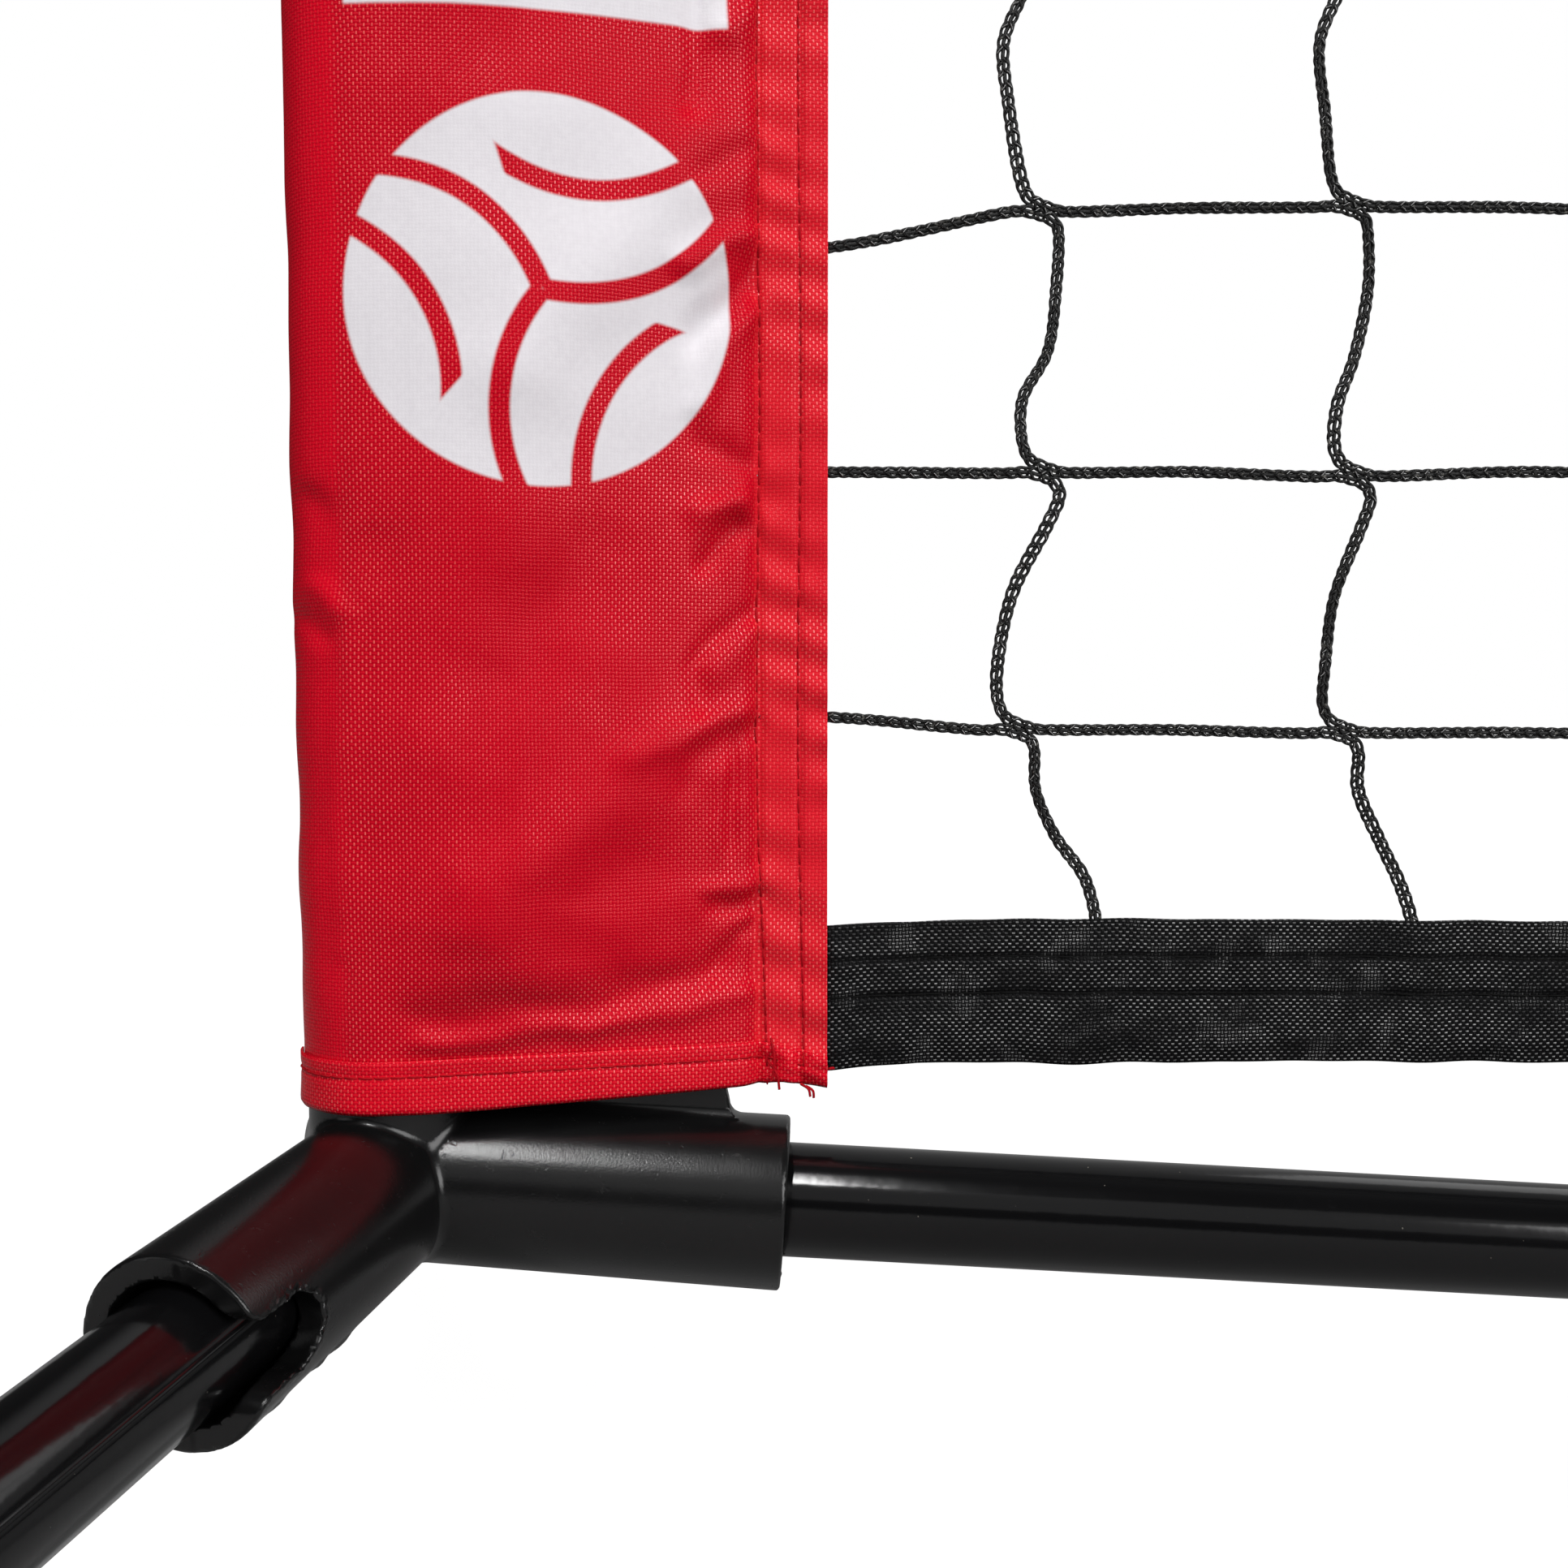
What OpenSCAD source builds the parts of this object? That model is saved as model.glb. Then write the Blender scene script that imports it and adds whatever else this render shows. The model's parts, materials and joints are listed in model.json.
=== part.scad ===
// Portable net on two telescopic poles, standing on splayed legs and a three-piece ground bar.
// Millimetres. X runs along the net, Y from the front legs to the rear legs, Z up from the ground.
// The origin is on the ground, midway between the poles, in the plane of the net.

/* [Overall] */
// Distance between the axes of the two poles
post_spacing = 3000; // [2400:10:4000]
// Segments that a full circle is drawn with
facets = 64; // [32:8:128]

/* [Tubes] */
// Outside diameter of the leg, bar and inner pole tubes
tube_d = 19; // [16:0.5:22]
// Wall of every steel tube
tube_wall = 1.2; // [0.8:0.1:2]
// Radial gap between the inner and the outer pole tube
telescope_gap = 0.3; // [0.2:0.05:0.4]

/* [Legs] */
// Distance from the fitting's centre to the outer end of a leg tube
leg_reach = 430; // [300:5:600]
// Angle by which a leg falls towards the ground
leg_droop = 8; // [4:0.5:12]
// Angle by which a leg is splayed outwards from square to the net
leg_splay = 16; // [0:1:30]
// Length of the rubber foot cap
foot_length = 32; // [20:1:50]
// Wall of the foot cap
foot_wall = 2.2; // [1.5:0.1:4]
// Thickness of the foot cap's closed end
foot_floor = 3.5; // [2:0.5:6]
// Depth of the worn flat that a foot cap or a coupler stands on
ground_flat = 0.6; // [0.3:0.1:1]

/* [Ground bar] */
// Horizontal run of an end section, from the pole's axis to the knee of its coupler
bar_run = 1050; // [700:10:1100]
// How far the bar's axis passes below the fitting's centre in its loose bore
bar_sag = 0.4; // [0:0.1:0.5]
// Angle by which the bar socket falls more steeply than the bar in it
bar_play = 0.8; // [0:0.1:0.9]
// Length of each half of a coupler
coupler_half = 48; // [35:1:70]
// Wall of a coupler
coupler_wall = 3; // [2:0.1:5]
// Thickness of the partition at the coupler's knee
coupler_stop = 6; // [4:0.5:10]
// How far the ring round the coupler's knee stands proud; it rests on the ground
coupler_ring = 1.5; // [1:0.1:3]
// Width of the ring round the coupler's knee
coupler_ring_width = 14; // [8:1:24]

/* [Corner fitting] */
// Outside radius of a socket where it leaves the centre
socket_root_r = 13.8; // [13:0.1:16]
// Outside radius of a socket at its mouth
socket_mouth_r = 14.6; // [13.8:0.1:17]
// Length of a leg socket from the fitting's centre
leg_socket = 62.5; // [50:0.5:80]
// Length of the bar socket from the fitting's centre
bar_socket = 66.5; // [50:0.5:80]
// Distance from the fitting's centre to the floor of a socket's bore
bore_start = 20; // [18:0.5:26]
// Radial gap round a leg tube at the mouth of its flared bore
leg_mouth_gap = 1.3; // [0.4:0.1:1.8]
// Length of the flared part of a leg socket's bore
leg_flare = 28; // [10:1:30]
// Radial gap round the bar in its straight bore
bar_bore_gap = 0.7; // [0.6:0.05:1]
// Width of the relief slot in the side of a leg socket
slot_width = 10.8; // [6:0.2:12]
// Length of the relief slot, from the socket's mouth
slot_length = 15; // [12:0.5:25]
// Radius of the rounded lips where the slot meets the mouth
slot_lip = 3; // [1:0.5:4]
// Chamfer round the mouth of each socket
mouth_chamfer = 0.7; // [0.3:0.1:1]
// Wall of the upright boss round the pole's bore
boss_wall = 3; // [2:0.1:5]
// Height of the upright boss above the fitting's centre
boss_height = 62; // [45:1:90]
// Height of the floor of the pole's bore above the fitting's centre
boss_floor = 14; // [13:0.5:20]
// Thickness of the gusset between the boss and the bar socket
web_thickness = 4; // [3:0.5:4.5]
// Reach of the gusset along the bar socket
web_reach = 60.5; // [45:0.5:62]
// Height of the gusset's outer corner above the fitting's centre
web_height = 32; // [20:1:45]
// Slope of the gusset's outer edge away from upright
web_lean = 12; // [0:1:20]
// How far the gusset's inner corner lies below the boss's rim
web_drop = 4; // [1:0.5:8]

/* [Poles] */
// Running gap of the parts that turn or slide on each other
running_gap = 0.1; // [0.05:0.01:0.1]
// Distance from the top of the outer pole tube to the top of the inner one
pole_show = 52; // [45:1:80]
// Height of the guide bush's flange below the inner pole
bush_flange = 6; // [4:0.5:10]
// Length of the plugs of the guide bush and the pole cap
plug_length = 20; // [12:1:30]
// Radius of the pole cap's head
cap_head_r = 12; // [10:0.5:13.5]
// Thickness of the pole cap's head
cap_head = 8; // [5:0.5:12]
// Height of the bevel round the pole cap's head
cap_bevel_height = 2; // [1:0.5:3]
// Width of the bevel round the pole cap's head
cap_bevel_width = 3; // [1:0.5:5]
// Bore through the guide bush
bush_bore_d = 9.5; // [5:0.5:12]
// Length of the lock ferrule that grips the outer pole tube
ferrule_grip = 30; // [20:1:45]
// Height of the ferrule's closed-in lip above the outer pole tube
ferrule_lip = 8; // [5:0.5:12]
// Wall of the lock ferrule
ferrule_wall = 1.4; // [1:0.1:1.6]
// Height of the ferrule's lower flange
ferrule_flange = 4; // [3:0.5:6]
// Wall of the lock collar
collar_wall = 1.15; // [1:0.05:1.2]
// Height of the ferrule's lip that shows above the lock collar
ferrule_show = 2; // [1:0.5:3]
// Number of grip flutes round the lock collar
collar_flutes = 16; // [8:1:24]
// Radius of a grip flute
flute_r = 1.2; // [0.8:0.1:1.6]
// Depth of a grip flute
flute_depth = 0.48; // [0.2:0.02:0.6]
// Distance from a grip flute's end to the collar's edge
flute_margin = 3; // [1:0.5:6]

/* [Sleeves] */
// Thickness of the sleeve's fabric
fabric = 0.7; // [0.5:0.1:1]
// Gap between the boss and the fabric wrapped round it
sleeve_ease = 0.3; // [0.2:0.05:0.6]
// Distance from the pole's axis to the free edge of the seam allowance
sleeve_reach = 73.5; // [68:0.5:95]
// Width of the seam allowance beyond the pocket
seam_allowance = 10; // [8:0.5:16]
// Half the width of the pocket's narrow end
pocket_end_r = 2.5; // [2.4:0.1:4]
// Height of the sleeve's lower hem above the fitting's centre
hem_lift = 14; // [13:0.5:20]

/* [Net] */
// Width of a net cord
cord_w = 2.2; // [1.5:0.1:3]
// Thickness of the net's cord and of the folded tape
net_thickness = 1.2; // [1:0.1:1.6]
// Number of mesh gaps along the net
net_columns = 27; // [20:1:30]
// Number of full-height rows of mesh gaps
net_rows = 8; // [4:1:9]
// Height of one full row of gaps
row_pitch = 86.6; // [70:0.2:100]
// Height of the short row of gaps above the lower tape
first_row = 33; // [20:1:60]
// Distance from the pole's axis to the net's border cord, inside the sleeve
border_inset = 55; // [50:0.5:60]
// Height of the upper and the lower tape
tape_height = 24.2; // [18:0.2:35]
// Height of the lower tape's lower edge above the fitting's centre
tape_lift = 19.3; // [15:0.1:30]
// Distance from the top edge of the upper tape to the top of the sleeve
sleeve_head = 8; // [4:0.5:15]

/* [Hidden] */
$fn = facets;
tube_r = tube_d / 2;
outer_bore_r = tube_r + telescope_gap;
outer_r = outer_bore_r + tube_wall;
half_span = post_spacing / 2;
cut = 1;

// Feet: the caps' lower corners are worn flat at the ground and carry the fitting's centre.
foot_r = tube_r + running_gap + foot_wall;
leg_end = leg_reach + foot_floor;
hub_z = leg_end * sin(leg_droop) + foot_r * cos(leg_droop) - ground_flat;

// Ground bar: the end sections fall from the fittings to the couplers, which lie on the ground.
coupler_r = tube_r + running_gap + coupler_wall;
coupler_ring_r = coupler_r + coupler_ring;
coupler_z = coupler_ring_r - ground_flat;
bar_droop = atan((hub_z - bar_sag - coupler_z) / bar_run);
bar_length = bar_run / cos(bar_droop);
socket_droop = bar_droop + bar_play;
knee_x = half_span - bar_run;

// Corner fitting
boss_bore_r = outer_r + running_gap;
boss_r = boss_bore_r + boss_wall;
web_foot_z = -web_reach * tan(socket_droop);

// Net and tapes
border_x = half_span - border_inset;
column_pitch = 2 * border_x / net_columns;
lower_tape_z = hub_z + tape_lift;
net_z = lower_tape_z + tape_height;
upper_tape_z = net_z + first_row + net_rows * row_pitch;
row_edges = [for (row = [0:net_rows]) net_z + first_row + row * row_pitch];

// Sleeves
pocket_r = boss_r + sleeve_ease;
pocket_end_x = sleeve_reach - seam_allowance - fabric - pocket_end_r;
seam_x = half_span - pocket_end_x - pocket_end_r - fabric;
hem_z = hub_z + hem_lift;
sleeve_top = upper_tape_z + tape_height + sleeve_head;
pocket_top = sleeve_top - fabric;

// Poles
inner_top = pocket_top - cap_head;
outer_top = inner_top - pole_show;
outer_foot = hub_z + boss_floor;
inner_foot = outer_foot + bush_flange + 2 * running_gap;
ferrule_r = outer_r + running_gap + ferrule_wall;
collar_r = ferrule_r + running_gap + collar_wall;
collar_z = outer_top - ferrule_grip + ferrule_flange + running_gap;
collar_top = outer_top + ferrule_lip - ferrule_show;

// Colours
moulded_black = [0.09, 0.09, 0.09];
painted_steel = [0.05, 0.05, 0.055];
foot_rubber = [0.12, 0.12, 0.12];
pale_plastic = [0.75, 0.75, 0.72];
red_fabric = [0.84, 0.08, 0.12];
black_cord = [0.06, 0.06, 0.06];
black_tape = [0.07, 0.07, 0.07];

sides = ["left", "right"];

// Mirrors a left-hand piece to the right.
module on_side(side) {
    if (side == "left") children();
    if (side == "right") mirror([1, 0, 0]) children();
}

// Moves to the centre of the left fitting.
module at_hub() {
    translate([-half_span, 0, hub_z]) children();
}

// Points +Z along a line that leaves the centre at an azimuth and falls by an angle.
module falling(azimuth, droop) {
    rotate([0, 90 + droop, azimuth]) children();
}

// Points +Z out of the front leg's socket; the rear leg is its mirror image.
module along_leg(end) {
    if (end == "front") falling(-90 - leg_splay, leg_droop) children();
    if (end == "rear") mirror([0, 1, 0]) falling(-90 - leg_splay, leg_droop) children();
}

module tube(radius, length) {
    difference() {
        cylinder(h = length, r = radius);
        translate([0, 0, -cut]) cylinder(h = length + 2 * cut, r = radius - tube_wall);
    }
}

// A tapered socket with a chamfered mouth, from the fitting's centre.
module socket_body(length) {
    straight = length - mouth_chamfer;
    rotate_extrude() polygon([
        [0, 0], [socket_root_r, 0], [socket_mouth_r, straight],
        [socket_mouth_r - mouth_chamfer, length], [0, length]
    ]);
}

// A tube's bore that opens into a flare at the socket's mouth, and on through it.
module leg_bore() {
    bore_r = tube_r + running_gap;
    flare_z = leg_socket - leg_flare;
    flare_slope = (leg_mouth_gap - running_gap) / leg_flare;
    rotate_extrude() polygon([
        [0, bore_start], [bore_r, bore_start], [bore_r, flare_z],
        [tube_r + leg_mouth_gap + cut * flare_slope, leg_socket + cut], [0, leg_socket + cut]
    ]);
}

// Outline of the relief slot: a round closed end, and lips that round out into the mouth.
module slot_outline() {
    half = slot_width / 2;
    closed = leg_socket - slot_length + half;
    flare_y = leg_socket - slot_lip;
    translate([0, closed]) circle(r = half);
    translate([-half, closed]) square([slot_width, slot_length]);
    difference() {
        translate([-half - slot_lip, flare_y]) square([slot_width + 2 * slot_lip, slot_lip + cut]);
        for (side = [-1, 1]) translate([side * (half + slot_lip), flare_y]) circle(r = slot_lip);
    }
}

module relief_slot() {
    depth = socket_mouth_r + cut;
    rotate([90, 0, 0]) translate([0, 0, -depth]) linear_extrude(depth) slot_outline();
}

module gusset() {
    lean_x = (web_height - web_foot_z) * tan(web_lean);
    outline = [
        [0, 0], [web_reach, web_foot_z], [web_reach - lean_x, web_height], [0, boss_height - web_drop]
    ];
    rotate([90, 0, 0]) translate([0, 0, -web_thickness / 2]) linear_extrude(web_thickness)
        polygon(outline);
}

module corner_fitting(side) {
    color(moulded_black) on_side(side) at_hub() difference() {
        union() {
            cylinder(h = boss_height, r = boss_r);
            for (end = ["front", "rear"]) along_leg(end) socket_body(leg_socket);
            falling(0, socket_droop) socket_body(bar_socket);
            gusset();
        }
        translate([0, 0, boss_floor]) cylinder(h = boss_height, r = boss_bore_r);
        for (end = ["front", "rear"]) along_leg(end) {
            leg_bore();
            relief_slot();
        }
        falling(0, socket_droop) translate([0, 0, bore_start])
            cylinder(h = bar_socket, r = tube_r + bar_bore_gap);
    }
}

module leg(side, end) {
    color(painted_steel) on_side(side) at_hub() along_leg(end)
        translate([0, 0, bore_start]) tube(tube_r, leg_reach - bore_start);
}

module foot_cap(side, end) {
    color(foot_rubber) on_side(side) difference() {
        at_hub() along_leg(end) translate([0, 0, leg_end - foot_length]) difference() {
            cylinder(h = foot_length, r = foot_r);
            translate([0, 0, -cut])
                cylinder(h = foot_length - foot_floor + cut, r = tube_r + running_gap);
        }
        translate([-2 * post_spacing, -post_spacing, -post_spacing])
            cube([2 * post_spacing, 2 * post_spacing, post_spacing]);
    }
}

module bar_end_section(side) {
    color(painted_steel) on_side(side) at_hub() translate([0, 0, -bar_sag])
        falling(0, bar_droop) translate([0, 0, bore_start + cut])
            tube(tube_r, bar_length - bore_start - cut - coupler_stop / 2);
}

module bar_middle_section() {
    length = 2 * knee_x - coupler_stop;
    color(painted_steel) translate([-length / 2, 0, coupler_z]) rotate([0, 90, 0])
        tube(tube_r, length);
}

module coupler_bore() {
    translate([0, 0, coupler_stop / 2]) cylinder(h = coupler_half, r = tube_r + running_gap);
}

// Two sleeves that meet at the bar's bend, under a ring that rests on the ground.
module bar_coupler(side) {
    flat_side = [0, 90, 0];
    sloping_side = [0, -90 + bar_droop, 0];
    color(moulded_black) on_side(side) difference() {
        translate([-knee_x, 0, coupler_z]) difference() {
            union() {
                rotate(flat_side) cylinder(h = coupler_half, r = coupler_r);
                rotate(sloping_side) cylinder(h = coupler_half, r = coupler_r);
                rotate([0, 90 + bar_droop / 2, 0])
                    cylinder(h = coupler_ring_width, r = coupler_ring_r, center = true);
            }
            rotate(flat_side) coupler_bore();
            rotate(sloping_side) coupler_bore();
        }
        translate([-post_spacing, -post_spacing, -post_spacing])
            cube([post_spacing, 2 * post_spacing, post_spacing]);
    }
}

module outer_pole(side) {
    color(painted_steel) on_side(side) translate([-half_span, 0, outer_foot])
        tube(outer_r, outer_top - outer_foot);
}

// A plastic ferrule fixed on the outer pole; its lip closes in round the inner pole.
module lock_ferrule(side) {
    grip_z = outer_top - ferrule_grip;
    color(moulded_black) on_side(side) translate([-half_span, 0, 0]) difference() {
        union() {
            translate([0, 0, grip_z]) cylinder(h = ferrule_grip + ferrule_lip, r = ferrule_r);
            translate([0, 0, grip_z]) cylinder(h = ferrule_flange, r = collar_r);
        }
        translate([0, 0, grip_z - cut]) cylinder(h = ferrule_grip + cut, r = outer_r + running_gap);
        translate([0, 0, outer_top - cut]) cylinder(h = ferrule_lip + 2 * cut, r = tube_r + running_gap);
    }
}

// A fluted ring that turns on the ferrule and clamps the inner pole.
module lock_collar(side) {
    height = collar_top - collar_z;
    color(moulded_black) on_side(side) translate([-half_span, 0, collar_z]) difference() {
        cylinder(h = height, r = collar_r);
        translate([0, 0, -cut]) cylinder(h = height + 2 * cut, r = ferrule_r + running_gap);
        for (flute = [0:collar_flutes - 1]) rotate([0, 0, flute * 360 / collar_flutes])
            translate([collar_r + flute_r - flute_depth, 0, flute_margin])
                cylinder(h = height - 2 * flute_margin, r = flute_r);
    }
}

module inner_pole(side) {
    color(painted_steel) on_side(side) translate([-half_span, 0, inner_foot])
        tube(tube_r, inner_top - inner_foot);
}

// A plug in an end of the inner pole.
module pole_plug() {
    cylinder(h = plug_length, r = tube_r - tube_wall - running_gap);
}

module guide_bush(side) {
    color(pale_plastic) on_side(side) translate([-half_span, 0, inner_foot]) difference() {
        union() {
            pole_plug();
            translate([0, 0, -bush_flange]) cylinder(h = bush_flange, r = outer_bore_r - running_gap);
        }
        translate([0, 0, -bush_flange - cut])
            cylinder(h = bush_flange + plug_length + 2 * cut, r = bush_bore_d / 2);
    }
}

module pole_cap(side) {
    bevel_z = cap_head - cap_bevel_height;
    color(moulded_black) on_side(side) translate([-half_span, 0, inner_top]) {
        rotate([180, 0, 0]) pole_plug();
        cylinder(h = bevel_z, r = cap_head_r);
        translate([0, 0, bevel_z])
            cylinder(h = cap_bevel_height, r1 = cap_head_r, r2 = cap_head_r - cap_bevel_width);
    }
}

// A drop-shaped outline: round the pole, and narrow at the seam.
module pocket_outline(grow) {
    hull() {
        circle(r = pocket_r + grow);
        translate([pocket_end_x, 0]) circle(r = pocket_end_r + grow);
    }
}

// The sewn pocket: open below, closed over the pole's cap, with a slit that holds the net's edge.
module sleeve(side) {
    allowance_y = net_thickness / 2 + fabric;
    color(red_fabric) on_side(side) translate([-half_span, 0, hem_z]) difference() {
        linear_extrude(sleeve_top - hem_z) {
            pocket_outline(fabric);
            translate([pocket_end_x, -allowance_y])
                square([sleeve_reach - pocket_end_x, 2 * allowance_y]);
        }
        translate([0, 0, -cut]) linear_extrude(pocket_top - hem_z + cut) pocket_outline(0);
        translate([pocket_end_x, -net_thickness / 2, -cut])
            cube([sleeve_reach, net_thickness, sleeve_top - hem_z + 2 * cut]);
    }
}

// Square-mesh net: border cords at both ends, inside the sleeves, and cords between the tapes.
module net_mesh() {
    color(black_cord) rotate([90, 0, 0]) translate([0, 0, -net_thickness / 2])
        linear_extrude(net_thickness) {
            for (column = [0:net_columns])
                translate([-border_x + column * column_pitch - cord_w / 2, net_z])
                    square([cord_w, upper_tape_z - net_z]);
            for (row = [0:net_rows - 1])
                translate([-border_x, row_edges[row] - cord_w / 2]) square([2 * border_x, cord_w]);
        }
}

module tape(low_z) {
    color(black_tape) translate([-seam_x, -net_thickness / 2, low_z])
        cube([2 * seam_x, net_thickness, tape_height]);
}

for (side = sides) {
    corner_fitting(side);
    leg(side, "front");
    foot_cap(side, "front");
    leg(side, "rear");
    foot_cap(side, "rear");
    bar_end_section(side);
    bar_coupler(side);
    outer_pole(side);
    lock_ferrule(side);
    lock_collar(side);
    inner_pole(side);
    guide_bush(side);
    pole_cap(side);
    sleeve(side);
}
bar_middle_section();
net_mesh();
tape(upper_tape_z);  // upper_tape
tape(lower_tape_z);  // lower_tape
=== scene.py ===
"""Looks of a portable net on telescopic poles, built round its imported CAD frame. Metres, +Z up."""
import json
import math
import bpy
import numpy as np
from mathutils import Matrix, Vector

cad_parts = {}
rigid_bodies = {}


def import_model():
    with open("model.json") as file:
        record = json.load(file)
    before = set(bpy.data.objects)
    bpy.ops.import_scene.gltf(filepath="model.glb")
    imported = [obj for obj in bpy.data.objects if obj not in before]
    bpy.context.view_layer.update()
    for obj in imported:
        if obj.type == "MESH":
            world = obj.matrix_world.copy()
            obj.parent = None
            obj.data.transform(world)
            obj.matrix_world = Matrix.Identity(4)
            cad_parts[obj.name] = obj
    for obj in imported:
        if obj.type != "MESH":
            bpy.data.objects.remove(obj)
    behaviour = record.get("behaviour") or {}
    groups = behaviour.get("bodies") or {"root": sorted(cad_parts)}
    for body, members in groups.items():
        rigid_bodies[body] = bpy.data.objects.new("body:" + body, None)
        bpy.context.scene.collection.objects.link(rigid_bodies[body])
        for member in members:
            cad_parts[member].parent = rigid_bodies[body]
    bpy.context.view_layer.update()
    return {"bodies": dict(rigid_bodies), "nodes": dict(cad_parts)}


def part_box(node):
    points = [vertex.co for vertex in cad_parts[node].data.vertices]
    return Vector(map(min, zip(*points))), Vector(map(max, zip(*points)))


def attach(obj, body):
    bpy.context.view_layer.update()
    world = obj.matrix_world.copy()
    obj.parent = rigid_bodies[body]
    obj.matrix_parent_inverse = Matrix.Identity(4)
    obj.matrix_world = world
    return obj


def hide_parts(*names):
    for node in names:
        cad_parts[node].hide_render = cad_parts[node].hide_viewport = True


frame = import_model()
MM = 0.001

# Shapes are worked out in millimetres from the left fitting's centre: X along the net from the pole's
# axis, Y to the rear, Z up. The right side is the mirror image.
CAMERA_PLACE, CAMERA_TILT, LENS, SENSOR = (66.2, -290.8, 79.3), 2.47, 39.6, 36
TUBE_R, TUBE_WALL, WELD_AT = 9.5, 1.2, math.radians(112)
BOSS_HEIGHT, BOSS_R, BOSS_BORE_R, BOSS_FLOOR = 62.0, 14.1, 11.1, 14.0
SOCKET_ROOT_R, SOCKET_MOUTH_R, LEG_SOCKET, BAR_SOCKET, BORE_START = 13.8, 14.6, 62.5, 66.5, 20.0
FLARE_START, FLARE_RUN, FLARE = 34.5, 28.0, 1.2  # a leg socket's bore, wider towards its mouth
SLOT_START, SLOT_R, SLOT_MOUTH_R = 52.9, 5.4, 3.0  # the notch in a leg socket's inner side
WEB_HALF, WEB_REACH, WEB_LEAN = 2.0, 58.6, math.radians(12)  # the upright web over the bar's socket
WEB_TOP, WEB_FALL, WEB_COS = 58.0, 0.5, 0.894  # its upper edge, which falls away from the boss
LEG_AZIMUTH, LEG_DROOP, LEG_REACH = 106.0, 8.0, 430.0
LEGS = (("front", -LEG_AZIMUTH), ("rear", LEG_AZIMUTH))
FOOT_R, FOOT_LENGTH, FOOT_FLOOR, FOOT_GROOVES = 11.8, 32.0, 3.5, (9, 14, 19)
COUPLER_R, COUPLER_RING_R, COUPLER_HALF, COUPLER_STOP, RING_HALF, BEAD = 12.6, 14.1, 48.0, 6.0, 7, 5
THROUGH = 90.0  # a bore's end, well past any mouth
SLEEVE_REACH, SEAM_X, SEAM_GAP, CLOTH, TAPE_CLOTH = 73.5, 62.0, 6.8, 0.45, 0.42
SEEN_Z, SEEN_X = 215.0, 240.0  # cloth is meshed finely up to here, where the camera sees it close by
WRAP_R = 14.75  # the cloth's outside round the pole, where it fits closest
LAYER_Y = 1.15  # the outside of a seam layer from the net's plane
HEM_STITCH = 2.6  # the hem's stitches below its upper edge
ROUND_X = -5.0  # the front turns round the pole to the left of here
BALL_X, BALL_Z, BALL_R = 27.0, 146.0, 31.0  # the printed ball
HEM_WEAVE = 60.3  # the hem's weave is taken from this much higher up, so it doesn't match the sleeve's
YARN = 0.6  # spacing of the yarns of both fabrics
TAPE_SEAMS = (6.2, 12.4)  # below the tape's upper edge
NET_COLUMN, NET_ROW, NET_FIRST_ROW, BORDER_X = 53.52, 43.3, 76.5, 55.0
STITCH = 2.0  # length of one stitch of the knitted cord
CORD_TWIST = 2.5  # length of one turn of a far cord's drawn twist
CHAIN_X, CHAIN_Z = 215.0, 222.0  # cords are knitted up to here
CORD_R, FAR_STEP = 1.0, 18  # a far cord keeps one of so many points

fitting_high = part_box("corner_fitting_left")[1]
pole_low, pole_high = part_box("outer_pole_left")
middle_low, middle_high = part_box("bar_middle_section")
sleeve_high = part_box("sleeve_left")[1]
tape_low, tape_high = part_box("lower_tape")
upper_low, upper_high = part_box("upper_tape")
inner_low, inner_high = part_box("inner_pole_left")
HUB = np.array([(pole_low.x + pole_high.x) / 2, 0, fitting_high.z - BOSS_HEIGHT * MM])
HALF_SPAN = -HUB[0] / MM
GROUND = -HUB[2] / MM


def above_hub(z):
    return z / MM + GROUND


KNEE_X = HALF_SPAN + middle_low.x / MM - COUPLER_STOP / 2
KNEE_Z = above_hub((middle_low.z + middle_high.z) / 2)
BAR_SAG = 0.4
BAR_DROOP = math.degrees(math.atan((-BAR_SAG - KNEE_Z) / KNEE_X))
SOCKET_DROOP = BAR_DROOP + 0.8
TAPE_TOP = above_hub(tape_high.z)
TAPE_WIDTH = tape_high.z / MM - tape_low.z / MM


def to_world(points, side="left"):
    """Millimetres from the left hub to metres in the frame."""
    world = np.asarray(points, float) * MM + HUB
    if side == "right":
        world[:, 0] *= -1
    return world


def placed(name, data):
    """A new object in the scene."""
    made = bpy.data.objects.new(name, data)
    bpy.context.scene.collection.objects.link(made)
    return made


def make_camera():
    """The camera, where the photograph was taken from."""
    data = bpy.data.cameras.new("camera")
    data.sensor_width = SENSOR
    data.lens = LENS
    data.clip_start, data.clip_end = 0.01, 60
    camera = placed("camera", data)
    camera.location = HUB + np.array(CAMERA_PLACE) * MM
    camera.rotation_euler = (math.radians(90 - CAMERA_TILT), 0, 0)
    bpy.context.scene.camera = camera


# Node trees


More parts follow.
